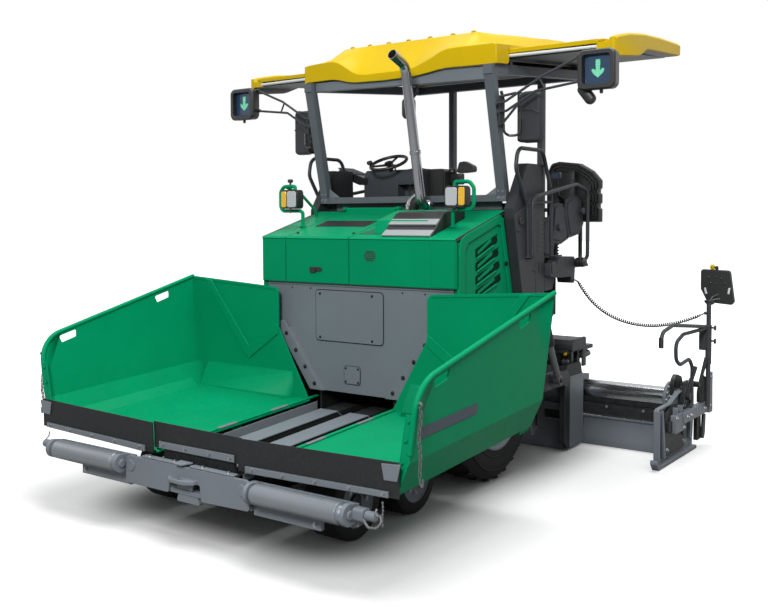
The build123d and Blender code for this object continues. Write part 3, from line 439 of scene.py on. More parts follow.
# Stripe paint: a cool dark grey, flatter than the green around it.
stripe_grey = enamel("stripe_grey_enamel", "#454C57", rough=0.48, dust=0.04, shine=0.2)
for side, hand, rear_y in ((1, "left", hopper_length), (-1, "right", hopper_length - 25)):
    shape = bmesh.new()
    shape.from_mesh(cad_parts[f"wing_{hand}"].data)
    bmesh.ops.remove_doubles(shape, verts=shape.verts, dist=1e-6)
    if side < 0:
        bmesh.ops.scale(shape, vec=(-1, 1, 1), verts=shape.verts)
    cutter = bmesh.new()
    for y in slot_starts:
        low, high = top_edge(y) - 84, top_edge(y) - 32
        rise = fall * slot_length
        corners = [(y + 20, low + 4), (y + slot_length - 6, low + rise), (y + slot_length, high + rise),
            (y, high)]
        slab_x(cutter, rounded(corners, 12), 1480, 1680)
    bmesh.ops.recalc_face_normals(cutter, faces=cutter.faces)
    cut_mesh = bpy.data.meshes.new("cutter")
    cutter.to_mesh(cut_mesh)
    cutter.free()
    cut = bpy.data.objects.new("cutter", cut_mesh)
    whole_mesh = bpy.data.meshes.new("whole")
    shape.to_mesh(whole_mesh)
    shape.free()
    whole = bpy.data.objects.new("whole", whole_mesh)
    bpy.context.scene.collection.objects.link(whole)
    bpy.context.scene.collection.objects.link(cut)
    minus = whole.modifiers.new("slots", "BOOLEAN")
    minus.object = cut
    minus.solver = "EXACT"
    bpy.context.view_layer.update()
    slotted = bpy.data.meshes.new_from_object(whole.evaluated_get(bpy.context.evaluated_depsgraph_get()))
    bpy.data.objects.remove(whole)
    bpy.data.objects.remove(cut)
    shape = bmesh.new()
    shape.from_mesh(slotted)
    for face in shape.faces:
        face.material_index = 0
    # the V-shaped rib and the hem along the top of the rear wall
    front = rear_y - 12
    rib_shape = bmesh.new()
    rib = [(1452, 1414), (1378, 1404), (968, 905), (692, 1096), (668, 1096), (668, 1018), (972, 806),
        (1030, 850)]
    slab_y(rib_shape, rib, front - 12.5, front - 0.5)
    make(f"wing_rib_{hand}", rib_shape, f"wing_{hand}", green, bevel=11, side=side)
    slab_y(shape, [(705, 1372), (1590, 1422), (1590, 1404), (705, 1354)], front - 5, front - 0.5)
    # seam plates where the floor meets the side, and along the floor's front edge
    slab_y(shape, [(1392, 489), (1437, 491), (1462, 545), (1452, 548)], 4, rear_y - 160, rise=floor_slope)
    make(f"wing_plates_{hand}", shape, f"wing_{hand}", green, bevel=0,
        replaces=(f"wing_{hand}",), side=side, smooth=12)

    # dark grey stripe along the outside of the side panel
    shape = bmesh.new()
    stripe = [(60, 770), (640, 806), (640, 868), (60, 832)]
    slab(shape, [(side_x(y, z) + 0.6, y, z) for y, z in stripe], (1.5, 0, 0))
    make(f"wing_stripe_{hand}", shape, f"wing_{hand}", stripe_grey, bevel=0, side=side)

    # wear strips bolted on along the floor's inner edge, some bare and some painted over
    shape = bmesh.new()
    for i, y in enumerate(range(20, 1400, 172)):
        z = 458 + floor_slope * y
        strip = [(372, z), (404, z + 1), (404, z + 9), (372, z + 8)]
        slab_y(shape, strip, y, y + 168, finish=1 if i in (3, 6) else 0, rise=floor_slope)
    make(f"wear_strips_{hand}", shape, f"wing_{hand}", [green, grey], bevel=1.5, side=side)

    # a chain that hangs from the front flange, with a snap hook at its end
    link = bmesh.new()
    ring = [(0.0068 * cos(a), 0.0068 * sin(a) + (0.009 if sin(a) > 0 else -0.009))
        for a in [2 * pi * k / 14 for k in range(14)]]
    rings = []
    for k, (u, v) in enumerate(ring):
        nu, nv = ring[(k + 1) % 14]
        pu, pv = ring[k - 1]
        out = Vector((nv - pv, pu - nu, 0)).normalized()
        rings.append([link.verts.new(Vector((u, v, 0)) + out * 0.0026 * cos(2 * pi * j / 6)
            + Vector((0, 0, 0.0026)) * sin(2 * pi * j / 6)) for j in range(6)])
    skin(link, rings + rings[:1])
    spots = []
    for k in range(17):
        z = 958 - 22 * k
        spots.append((at(1578 + 4 * sin(k * 0.7), 18 + 5 * sin(k * 0.5), z), (pi / 2, 0, pi / 2 * (k % 2)),
            1.15))
    repeat(f"wing_chain_{hand}", link, spots, f"wing_{hand}", dull_steel, side=side)
    shape = bmesh.new()
    tube(shape, [(1578, 18, 590), (1578, 18, 560), (1595, 18, 540), (1595, 18, 585)], 5, 12, 8)
    tube(shape, [(1552, 14, 968), (1590, 16, 968), (1590, 16, 955)], 6, 8, 8)
    make(f"chain_hook_{hand}", shape, f"wing_{hand}", dull_steel, bevel=0, side=side)

    # bolts through the front flange and under the floor's edge
    spots = [(at(1452 + 75 * t, -2, 505 + 380 * t), facing_front, 0.8) for t in (0.12, 0.4, 0.7, 0.97)]
    repeat(f"wing_bolts_{hand}", bolt_head(), spots, f"wing_{hand}", green, side=side)


# Rubber apron: three pieces of black conveyor belting under the wings' front edges and the frame,
# held by grey clamp strips with a row of bolts, with a corner plate at each outer end.

# Belting: calendered rubber over fabric, a flat black with a faint weave.
rubber, tree, shader, place = material("belting_rubber")
weave = add(tree, "ShaderNodeTexNoise", {"Vector": place, "Scale": 60.0, "Detail": 4.0})
tone = add(tree, "ShaderNodeMix", {"Factor": weave.outputs["Fac"], "A": linear("#18191A"),
    "B": linear("#2A2B2D")}, data_type="RGBA")
tree.links.new(tone.outputs["Result"], shader.inputs["Base Color"])
shader.inputs["Roughness"].default_value = 0.72
shader.inputs["Specular IOR Level"].default_value = 0.25
bump = add(tree, "ShaderNodeBump", {"Height": weave.outputs["Fac"], "Strength": 0.15, "Distance": 0.002})
tree.links.new(bump.outputs[0], shader.inputs["Normal"])

# Bolt steel: zinc plated, so pale and half bright.
bright_steel, tree, shader, place = material("zinc_plated_steel")
shader.inputs["Base Color"].default_value = linear("#8E9296")
shader.inputs["Metallic"].default_value = 0.85
shader.inputs["Roughness"].default_value = 0.38


def belting(shape, x0, x1, low, high, y, wave):
    """Adds a belt 8 mm thick between two heights at its ends, slightly wavy along its top."""
    columns, rows = 24, 4
    grid = {}
    for i in range(columns + 1):
        t = i / columns
        for j in range(rows + 1):
            s = j / rows
            z = (low[0] * (1 - t) + low[1] * t) * (1 - s) + (high[0] * (1 - t) + high[1] * t) * s
            lean = wave * s * s * sin(7.0 * t + 0.6) - 6 * s * s
            for k, offset in enumerate((0, 7.5)):
                grid[i, j, k] = shape.verts.new(at(x0 + (x1 - x0) * t, y + lean + offset, z))
    for k in (0, 1):
        for i in range(columns):
            for j in range(rows):
                shape.faces.new((grid[i, j, k], grid[i + 1, j, k], grid[i + 1, j + 1, k],
                    grid[i, j + 1, k]))
    for i in range(columns):
        for j in (0, rows):
            shape.faces.new((grid[i, j, 0], grid[i + 1, j, 0], grid[i + 1, j, 1], grid[i, j, 1]))
    for j in range(rows):
        for i in (0, columns):
            shape.faces.new((grid[i, j, 0], grid[i, j + 1, 0], grid[i, j + 1, 1], grid[i, j, 1]))


both_hands = ((1, "left"), (-1, "right"))
for side, hand in both_hands:
    shape = bmesh.new()
    belting(shape, 364, 1488, (452, 480), (641, 668), -39.5, 1.5)
    make(f"apron_belt_{hand}", shape, f"wing_{hand}", rubber, bevel=0,
        replaces=(f"apron_{hand}",), side=side)
    shape = bmesh.new()
    strip = [(432, 453), (1432, 480), (1432, 512), (432, 492)]
    slab_y(shape, strip, -56, -41)
    slab_y(shape, [(432, 453), (1432, 480), (1432, 485), (432, 458)], -41, -20)
    corner = [(1403, 567), (1484, 570), (1506, 660), (1386, 652)]
    slab_y(shape, corner, -51, -45)
    make(f"apron_clamp_{hand}", shape, f"wing_{hand}", grey, bevel=2, side=side)
    spots = [(at(x, -56, 474 + 0.0225 * (x - 432)), facing_front, 0.85) for x in (484, 716, 948, 1180,
        1400)]
    repeat(f"apron_bolts_{hand}", bolt_head(), spots, f"wing_{hand}", bright_steel, side=side)

shape = bmesh.new()
belting(shape, -374, 374, (484, 484), (646, 640), -20, 1.2)
make("apron_belt_middle", shape, "tractor", rubber, bevel=0, replaces=("apron_middle",))
shape = bmesh.new()
slab_y(shape, [(-320, 487), (322, 490), (322, 534), (-320, 530)], -33, -24)
make("apron_clamp_middle", shape, "tractor", grey)
spots = [(at(x, -33, 510), facing_front, 0.85) for x in (-285, -85, 120, 290)]
repeat("apron_bolts_middle", bolt_head(), spots, "tractor", bright_steel)


# Push beam: a welded grey crosshead that swings on its pin, with bosses at both ends, bolted cover
# plates, the tow hitch in its notch, and a steel roller on each side that pushes the truck's wheels.
def slab_z(shape, xy, z0, z1, finish=0):
    """Adds an outline of (across, rearwards) between two heights."""
    slab(shape, [(x, y, z0) for x, y in xy], (0, 0, z1 - z0), finish)


def block(shape, x0, x1, y0, y1, z0, z1, finish=0):
    """Adds a plain box."""
    slab_z(shape, [(x0, y0), (x1, y0), (x1, y1), (x0, y1)], z0, z1, finish)


def oblong(x0, x1, y0, y1, radius, steps=4):
    """A rectangle with rounded corners."""
    return rounded([(x0, y0), (x1, y0), (x1, y1), (x0, y1)], radius, steps)


def turned(shape, profile, centre, axis, sides=32, finish=0, closed=False):
    """Adds a turned piece: a profile of (mm along the axis, radius) about an axis through a place."""
    axis = Vector(axis).normalized()
    side = axis.orthogonal().normalized()
    over = axis.cross(side)
    middle = at(*centre)
    rings = []
    for along, radius in profile:
        spot = middle + axis * (along / 1000)
        if radius <= 0:
            rings.append([shape.verts.new(spot)])
            continue
        rings.append([shape.verts.new(spot + (side * cos(2 * pi * k / sides)
            + over * sin(2 * pi * k / sides)) * radius / 1000) for k in range(sides)])
    pairs = list(zip(rings, rings[1:])) + ([(rings[-1], rings[0])] if closed else [])
    faces = []
    for one, two in pairs:
        for k in range(sides):
            j = (k + 1) % sides
            corners = [one[k % len(one)], two[k % len(two)], two[j % len(two)], one[j % len(one)]]
            corners = [c for i, c in enumerate(corners) if c not in corners[:i]]
            if len(corners) > 2:
                faces.append(shape.faces.new(corners))
    if not closed:
        faces += [shape.faces.new(ring) for ring in (rings[0], rings[-1]) if len(ring) > 2]
    for face in faces:
        face.material_index = finish


shape = bmesh.new()
plate = [(-526, 262), (-140, 262), (-130, 345), (130, 345), (140, 250), (526, 262), (526, 436), (-526, 436)]
slab_y(shape, rounded(plate, [22, 14, 10, 10, 14, 22, 34, 34]), -120, -102)
for x0, x1 in ((-385, -25), (40, 400)):
    slab_z(shape, oblong(x0, x1, -118, -72, 8), 438, 447)
tab = rounded([(-78, -74), (-52, -150), (8, -150), (30, -74)], [4, 18, 18, 4])
slab_z(shape, tab, 448, 458)
for x in (-478, 474):
    turned(shape, [(0, 36), (5, 36), (8, 32), (8, 0)], (x, -120, 374), (0, -1, 0), 28)
hitch_y = -145
roller_y, roller_z = -135, 379
hole = [(20 * cos(a), hitch_y + 20 * sin(a)) for a in [-pi / 2 - 2 * pi * k / 20 for k in range(21)]]
jaw = [(-118, -116), (-112, -150), (-66, -182), (0, -186)]
slab_z(shape, jaw + hole + [(0, -186)] + [(-x, y) for x, y in jaw[2::-1]], 350, 372)
slab_y(shape, [(-62, 300), (60, 300), (70, 342), (-72, 342)], -116, -100)
slab_y(shape, rounded([(-96, 214), (104, 214), (84, 262), (-78, 262)], 10), -96, -70)
block(shape, -526, 526, -102, -62, 262, 290)
for side in (1, -1):
    slab_x(shape, [(-118, 290), (-60, 290), (-60, 424), (-118, 424)], side * 500, side * 524)
    slab_y(shape, [(side * x, z) for x, z in ((524, 236), (1012, 236), (1012, 300), (1000, 322),
        (524, 322))], -82, -52)
    slab_y(shape, [(side * x, z) for x, z in ((500, 300), (1250, 300), (1250, 424), (500, 424))], -66, -52)
    for x0, x1 in ((544, 568), (1221, 1249)):
        arc = [(roller_y + 60 * sin(a), roller_z + 60 * cos(a)) for a in [pi + pi * k / 12
            for k in range(13)]]
        slab_x(shape, [(-60, 330)] + arc + [(-60, 424)], side * x0, side * x1)
        turned(shape, [(0, 26), (6, 26), (9, 22), (9, 0)], (side * (x1 if x0 > 600 else x0), roller_y,
            roller_z), (side if x0 > 600 else -side, 0, 0), 20)
    slab_x(shape, rounded([(-128, 352), (-64, 352), (-64, 418), (-128, 418)], 16), side * 1258, side * 1326)
    turned(shape, [(0, 18), (3, 26), (62, 26), (66, 20), (66, 0)], (side * 1326, -96, 385), (side, 0, 0),
        20)
make("push_beam_steelwork", shape, "push_beam", grey, replaces=("push_beam",))
spots = [(at(x, -93, 447), (0, 0, 0), 0.9) for x in (-330, -110, 130, 340)]
spots += [(at(s * 975, -82, 262), facing_front, 1.1) for s in (1, -1)]
spots += [(at(s * 540, -52, 262), facing_front, 1.0) for s in (1, -1)]
repeat("push_beam_bolts", bolt_head(), spots, "push_beam", bright_steel)
shape = bmesh.new()
tube(shape, [(1330, -130, 372), (1370, -140, 340), (1420, -135, 345), (1440, -120, 375), (1425, -110, 400)],
    7, 25, 10)
tube(shape, [(1395, -100, 430), (1395, -112, 412), (1412, -112, 396), (1428, -104, 404)], 6, 10, 8)
tube(shape, [(-1395, -60, 455), (-1395, -66, 425), (-1380, -100, 410)], 4, 10, 8)
make("push_beam_shackle", shape, "push_beam", dull_steel, bevel=0)
link = bmesh.new()
bmesh.ops.create_uvsphere(link, u_segments=8, v_segments=6, radius=0.008)
bmesh.ops.scale(link, vec=(0.7, 0.7, 1.3), verts=link.verts)
spots = [(at(1440 + 2 * sin(k), -112, 470 - 19 * k), (0, 0, pi / 2 * (k % 2)), 1.0) for k in range(7)]
repeat("push_beam_chain", link, spots, "push_beam", dull_steel)

# Roller steel: painted once, now scuffed to metal where tyres run on it.
roller_steel = enamel("scuffed_roller_steel", "#72787E", rough=0.34, dust=0.1, edge=0.6, shine=0.6)
shader = roller_steel.node_tree.nodes["Principled BSDF"]
shader.inputs["Metallic"].default_value = 0.35
for side, hand in both_hands:
    shape = bmesh.new()
    profile = [(0, 18), (0, 44), (5, 48), (18, 48), (22, 56), (26, 60), (612, 60), (616, 56), (620, 48),
        (634, 48), (640, 44), (640, 18)]
    turned(shape, profile, (574, roller_y, roller_z), (1, 0, 0), 40, closed=True)
    make(f"roller_shell_{hand}", shape, f"push_roller_{hand}", roller_steel, bevel=0,
        replaces=(f"push_roller_{hand}",), side=side)


# Main frame: welded plate rails with the deck and bulkhead, on a front bogie with four steered
# knuckles and a driven rear axle. All of it is flame-cut steel, sprayed black before it is put together.
def wear(node_name, *materials):
    """Gives a CAD node its finish."""
    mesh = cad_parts[node_name].data
    mesh.materials.clear()
    for finish in materials:
        mesh.materials.append(finish)


# Black enamel: dull, with a little dust on what lies low.
dark = enamel("black_enamel", "#1A1C1E", rough=0.5, dust=0.06, shine=0.25)
for name in ("main_frame", "front_axle", "rear_axle"):
    wear(name, dark)
for place_name in ("front", "mid"):
    for hand in ("left", "right"):
        wear(f"{place_name}_knuckle_{hand}", dark)


# Conveyor: two grey wear plates cover the floor of the tunnel; between and beside them run the
# chains that carry the slats, dark with asphalt.
def deck_z(y):
    """Height of the sloping conveyor deck."""
    return 330 + floor_slope * y


shape = bmesh.new()
for side in (1, -1):
    profile = [(14, deck_z(14) + 81), (1390, deck_z(1390) + 81), (1450, deck_z(1450) + 30),
        (1450, deck_z(1450)), (14, deck_z(14) - 4)]
    slab_x(shape, profile, side * 64, side * 210)
    slab_x(shape, [(10, deck_z(10) + 81), (1392, deck_z(1392) + 81), (1454, deck_z(1450) + 30),
        (1454, deck_z(1450) + 38), (1396, deck_z(1396) + 90), (10, deck_z(10) + 90)], side * 56, side * 218)
    guard = [(y, 396 + (30 ** 2 + (43 + floor_slope * y) ** 2 - 49 ** 2) ** 0.5) for y in range(15, 1520,
        150)]
    slab_x(shape, guard + [(1515, 376), (15, 376)], side * 346, side * 351)
    slab_x(shape, [(10, deck_z(10) + 2), (1500, deck_z(1500) + 2), (1500, deck_z(1500) + 12),
        (10, deck_z(10) + 12)], side * 270, side * 282)
    slab_x(shape, [(900, 400), (900, 462), (1440, 496), (1440, 434)], side * 496, side * 502)
make("conveyor_covers", shape, "tractor", grey)
wear("conveyor", dark)
link = bmesh.new()
plate = [(-0.028, -0.010), (0.028, -0.010), (0.034, 0.0), (0.028, 0.010), (-0.028, 0.010), (-0.034, 0.0)]
for x in (-0.016, 0.012):
    low = [link.verts.new((x, y, z)) for y, z in plate]
    high = [link.verts.new((x + 0.004, y, z)) for y, z in plate]
    link.faces.new(low)
    link.faces.new(high[::-1])
    for i in range(6):
        link.faces.new((low[i], high[i], high[(i + 1) % 6], low[(i + 1) % 6]))
roller = bmesh.ops.create_cone(link, cap_ends=True, segments=12, radius1=0.012, radius2=0.012, depth=0.032)
bmesh.ops.rotate(link, verts=roller["verts"], cent=(0, 0, 0), matrix=Matrix.Rotation(pi / 2, 3, "Y"))
spots = [(at(x, y, deck_z(y) + 34), (atan2(floor_slope, 1), 0, 0), 1.0) for x in (0, 236, -236)
    for y in range(40, 2500, 56)]
repeat("conveyor_chains", link, spots, "tractor", dark)
spots = [(at(0, y, deck_z(y) + 48), (0, 0, 0), 1.3) for y in range(110, 1500, 170)]
repeat("conveyor_bolts", bolt_head(), spots, "tractor", bright_steel)


# Front wall: a grey bulkhead plate between hopper and engine with two bolted covers, and a bolted
# wear strip along each sloping side.
wall_y = 1530
shape = bmesh.new()
slab_y(shape, oblong(-361, 255, 988, 1360, 28), wall_y - 8, wall_y - 4.2)
slab_y(shape, oblong(-97, 46, 684, 812, 18), wall_y - 8, wall_y - 4.2)
slab_y(shape, oblong(-367, 261, 982, 1366, 32), wall_y - 5, wall_y - 3.4, 1)
slab_y(shape, oblong(-102, 51, 679, 817, 22), wall_y - 5, wall_y - 3.4, 1)
slab_y(shape, [(-842, 1392), (842, 1392), (842, 1400), (-842, 1400)], wall_y - 8, wall_y - 0.5)
make("wall_covers", shape, "tractor", [grey, dark], bevel=2.5)
wear("front_wall", grey)
shape = bmesh.new()
for side in (1, -1):
    strip = [(402, 616), (760, 1115), (652, 1115), (292, 616)]
    slab_y(shape, [(side * x, z) for x, z in strip], 1494, 1501.5)
make("wall_strips", shape, "tractor", grey, bevel=2)
spots = [(at(x, wall_y - 8, z), facing_front, 0.62) for x, z in ((-322, 1334), (160, 1334), (-322, 1010),
    (160, 1010))]
spots += [(at(x, wall_y - 8, z), facing_front, 0.55) for x, z in ((-82, 797), (31, 797), (-82, 699),
    (31, 699))]
spots += [(at(s * (342 + 322 * t), 1494, 640 + 444 * t * 0.95), facing_front, 1.0) for s in (1, -1)
    for t in (0.05, 0.33, 0.61, 0.9)]
spots += [(at(x, wall_y, 1368), facing_front, 0.4) for x in (-600, -420, 420, 610)]
repeat("wall_bolts", bolt_head(), spots, "tractor", dark)


# Hood: green sheet-steel covers over the engine, one of them a lid. The front edge is bevelled, a
# round slotted vent and slots in the top let air in, and black plates and a latch are set in it.
hood_front_y = 1498
hood_rise = (1945 - 1750) / (2190 - hood_front_y)


def hood_top(y):
    """Height of the hood's sloping top."""
    return 1750 + hood_rise * (y - hood_front_y)


# Moulded black plastic: half dull, with the fine grain of its mould.
black_plastic, tree, shader, place = material("black_moulded_plastic")
grain = add(tree, "ShaderNodeTexNoise", {"Vector": place, "Scale": 300.0, "Detail": 2.0})
tone = add(tree, "ShaderNodeMix", {"Factor": grain.outputs["Fac"], "A": linear("#121314"),
    "B": linear("#1E1F21")}, data_type="RGBA")
tree.links.new(tone.outputs["Result"], shader.inputs["Base Color"])
shader.inputs["Roughness"].default_value = 0.42
bump = add(tree, "ShaderNodeBump", {"Height": grain.outputs["Fac"], "Strength": 0.2, "Distance": 0.0005})
tree.links.new(bump.outputs[0], shader.inputs["Normal"])


def on_hood(shape, xy, low, high, finish=0):
    """Adds a flat outline that lies on the sloping top of the hood, between two heights above it."""
    slab(shape, [(x, y, hood_top(y) + low) for x, y in xy], (0, 0, high - low), finish)


shape = bmesh.new()
for x0, x1 in ((-873, -640), (-632, -33), (-25, 873)):
    bevel = [(1492, 1742), (1497.5, 1742), (1512, hood_top(1512) + 0.5), (1514, hood_top(1514) + 6)]
    slab_x(shape, bevel, x0 + 1, x1 - 1)
slab_y(shape, oblong(684, 868, 1420, 1738, 6), 1494, 1497.5)
make("hood_edges", shape, "tractor", green, bevel=1.5)
wear("hood_panels", green)
wear("hood_lid", green)
wear("engine_block", dark)
shape = bmesh.new()
for k in range(5):
    z = 1624 + (k - 2) * 15.5
    half = (54 ** 2 - ((k - 2) * 19) ** 2) ** 0.5 * 0.95
    slab_y(shape, oblong(161 - half, 161 + half, z - 4, z + 4, 3.8), 1494.6, 1497.6)
for k in range(5):
    y = 1588 + 46 * k
    on_hood(shape, oblong(-6 + 14 * k, 214, y, y + 20, 6), 0.4, 1.6)
for side in (1, -1):
    on_hood(shape, [(side * 878, 1500), (side * 873.5, 1500), (side * 873.5, 2188), (side * 878, 2188)],
        -16, 3)
make("hood_vents", shape, "tractor", black_plastic, bevel=0)
shape = bmesh.new()
slab_y(shape, oblong(-396, -282, 1500, 1532, 7), 1488, 1497.5)
slab_y(shape, oblong(-386, -334, 1490, 1524, 7), 1480, 1488)
on_hood(shape, oblong(-575, -82, 1772, 1918, 10), 0.4, 4)
make("lid_plate", shape, "hood_lid", black_plastic, bevel=2)
shape = bmesh.new()
on_hood(shape, oblong(-552, -104, 1792, 1898, 6), 4.2, 5.2)
make("lid_plate_face", shape, "hood_lid", dark, bevel=0.5)
spots = [(at(x, y, hood_top(y)), (atan2(hood_rise, 1), 0, 0), 0.8) for x, y in ((-600, 1600), (-62, 1600))]
repeat("lid_screws", bolt_head(), spots, "hood_lid", dark)

# Louvred cover: a black sheet box bolted on the hood over an air inlet. Two pale slats are set into its
# sloping front, partly bare aluminium and partly a painted highlight for the shine along its glossy
# louvres.

# Slat metal: pale and satin, with fine brush lines across; its paleness is partly a painted highlight.
slat_metal_and_highlight, tree, shader, place = material("anodised_aluminium")
lines = add(tree, "ShaderNodeMapping", {"Vector": place, "Scale": (2.0, 200.0, 200.0)})
brush = add(tree, "ShaderNodeTexNoise", {"Vector": lines.outputs[0], "Scale": 4.0, "Detail": 3.0})
tone = add(tree, "ShaderNodeMix", {"Factor": brush.outputs["Fac"], "A": linear("#8F9497"),
    "B": linear("#A9AEB1")}, data_type="RGBA")
tree.links.new(tone.outputs["Result"], shader.inputs["Base Color"])
shader.inputs["Metallic"].default_value = 0.4
shader.inputs["Roughness"].default_value = 0.4
cover_x0, cover_x1, cover_y = 236, 652, 1532
shape = bmesh.new()
side_outline = [(cover_y, hood_top(cover_y) + 1), (cover_y + 172, 1918), (cover_y + 220, 1936),
    (1990, 1950), (1990, hood_top(1990) + 1)]
slab_x(shape, side_outline, cover_x0, cover_x1)
make("cover_box", shape, "tractor", black_plastic, bevel=5)
shape = bmesh.new()
face = Vector((172, 1918 - hood_top(cover_y))).normalized()
outward = Vector((-face.y, face.x))
reach = hypot(172, 1918 - hood_top(cover_y))
for start, end, lift in ((0.02, 0.30, 5), (0.50, 0.78, 5)):
    a, b = face * reach * start, face * reach * end
    base = Vector((cover_y, hood_top(cover_y)))
    corners = [base + a, base + b, base + b + outward * lift, base + a + outward * (lift + 8)]
    slab_x(shape, [tuple(c) for c in corners], cover_x0 + 6, cover_x1 - 6)
make("cover_slats", shape, "tractor", slat_metal_and_highlight, bevel=1.5)


# Side doors: green sheet-steel panels hinged at the front wall, with a rounded raised frame and four
# slanted air slots, pressed out as louvres and backed by mesh; the slots' dark is painted shade.

# Slot shade: a painted shade, nearly black green, because hardly any light comes back through the mesh.
slot_shade_enamel = enamel("door_slot_painted_shade", "#05271B", rough=0.6, dust=0.02, edge=0.0, shine=0.05)
door_steps = 40


def resampled(outline):
    """The same outline as a set number of even steps."""
    total = [0.0]
    for a, b in zip(outline, outline[1:] + outline[:1]):
        total.append(total[-1] + hypot(b[0] - a[0], b[1] - a[1]))
    out = []
    for k in range(door_steps):
        d = total[-1] * k / door_steps
        i = max(j for j in range(len(outline)) if total[j] <= d)
        a, b = outline[i], outline[(i + 1) % len(outline)]
        t = (d - total[i]) / (total[i + 1] - total[i])
        out.append((a[0] + (b[0] - a[0]) * t, a[1] + (b[1] - a[1]) * t))
    return out


for name in ("side_door_left", "side_door_right"):
    wear(name, green)
for side, hand in both_hands:
    shape = bmesh.new()
    outer = rounded([(1538, 1128), (1538, 1735), (1600, 1772), (2132, 1926), (2284, 1318), (2288, 1128)],
        [0, 70, 60, 30, 40, 0])
    inner = rounded([(1612, 1140), (1612, 1690), (1660, 1722), (2104, 1856), (2230, 1318), (2232, 1140)],
        [0, 50, 40, 24, 36, 0])
    hoops = []
    for outline, x in ((outer, 874), (outer, 884), (inner, 884), (inner, 874)):
        hoops.append([shape.verts.new(at(x, y, z)) for y, z in resampled(outline)])
    skin(shape, hoops + hoops[:1])
    make(f"door_frame_{hand}", shape, f"side_door_{hand}", green, bevel=3, side=side)
    shape = bmesh.new()
    for row in range(4):
        z = 1352 + 92 * row
        rear = 2112 - 16 * row
        slot = rounded([(1760, z - 18), (rear, z + 88), (rear + 4, z + 142), (1760, z + 34)],
            [14, 22, 22, 14])
        slab_x(shape, slot, 873.3, 874.6)
    turned(shape, [(0, 16), (10, 15), (13, 11), (13, 0)], (884, 2172, 1560), (1, 0, 0), 20)
    make(f"door_slots_{hand}", shape, f"side_door_{hand}", slot_shade_enamel, bevel=0, side=side)
    shape = bmesh.new()
    for row in range(4):
        z = 1352 + 92 * row
        rear = 2112 - 16 * row
        lip = [(1775, z - 24), (rear - 60, z + 62), (rear - 60, z + 74), (1775, z - 10)]
        slab_x(shape, lip, 874, 884)
        lip = [(1790, z + 10), (rear - 90, z + 92), (rear - 90, z + 122), (1790, z + 32)]
        slab_x(shape, lip, 873.5, 877)
    make(f"door_louvres_{hand}", shape, f"side_door_{hand}", green, bevel=3, side=side)


# Work lamps: black housings with a clear front lens and an amber side lens, on a green bent tube,
# with a knob on top to set them by.
def lens_glass(name, colour, glow):
    """Moulded lens plastic: glossy, its cells catching the light one by one, with a faint glow."""
    made, tree, shader, place = material(name)
    cells = add(tree, "ShaderNodeTexVoronoi", {"Vector": place, "Scale": 70.0})
    tone = add(tree, "ShaderNodeMix", {"Factor": cells.outputs["Distance"], "A": linear(colour),
        "B": (1, 1, 1, 1)}, data_type="RGBA", blend_type="MULTIPLY")
    tree.links.new(tone.outputs["Result"], shader.inputs["Base Color"])
    shader.inputs["Roughness"].default_value = 0.15
    shader.inputs["Coat Weight"].default_value = 0.6
    shader.inputs["Emission Color"].default_value = linear(colour)
    shader.inputs["Emission Strength"].default_value = glow
    bump = add(tree, "ShaderNodeBump", {"Height": cells.outputs["Distance"], "Strength": 0.5,
        "Distance": 0.004})
    tree.links.new(bump.outputs[0], shader.inputs["Normal"])
    return made


clear_lens = lens_glass("clear_lamp_lens", "#A9ADB0", 0.05)
amber_lens = lens_glass("amber_lamp_lens", "#D8A800", 0.08)
for side, hand in both_hands:
    shape = bmesh.new()
    x, y, z = 752, 1722, 2040
    slab_y(shape, oblong(x - 78, x + 88, z - 74, z + 74, 26), y - 44, y + 30)
    slab_y(shape, oblong(x - 50, x + 60, z - 50, z + 50, 26), y + 30, y + 62)
    turned(shape, [(0, 8), (22, 8), (24, 20), (44, 22), (50, 14), (50, 0)], (x + 30, y, z + 108), (0, 0, 1),
        16)
    tube(shape, [(x + 10, y - 20, z - 72), (x + 10, y - 30, z - 106)], 7, 0, 8)
    make(f"lamp_housing_{hand}", shape, "tractor", black_plastic, bevel=5, side=side)
    shape = bmesh.new()
    slab_y(shape, oblong(x - 68, x + 24, z - 62, z + 62, 18), y - 52, y - 44)
    make(f"lamp_lens_{hand}", shape, "tractor", clear_lens, bevel=4, side=side)
    shape = bmesh.new()
    slab_y(shape, oblong(x + 34, x + 84, z - 62, z + 62, 14), y - 50, y - 30)
    make(f"lamp_amber_{hand}", shape, "tractor", amber_lens, bevel=4, side=side)
    shape = bmesh.new()
    foot_y = 1762
    loop = [(690, foot_y, hood_top(foot_y) + 2), (690, foot_y, 1935), (706, foot_y - 10, 1950),
        (862, y, 1950), (884, y, 1985), (884, y, 2100), (850, y, 2142), (x - 20, y, 2142),
        (x - 20, y, 2108)]
    tube(shape, loop, 14, 46, 14)
    if side < 0:
        tube(shape, [(838, y, 2142), (820, 1900, 2080), (800, 2040, 1960), (800, 2060, hood_top(2060) + 2)],
            12, 60, 12)
    turned(shape, [(0, 26), (8, 26), (10, 16), (10, 0)], (690, foot_y, hood_top(foot_y)), (0, 0, 1), 16)
    make(f"lamp_bracket_{hand}", shape, "tractor", green, bevel=0, replaces=("work_lamps",)
        if side > 0 else (), side=side)


# Exhaust: a chromed tail pipe that leans back over the hood, with a cut-back dark mouth, a swept elbow
# at its foot and a clamped flexible joint below.

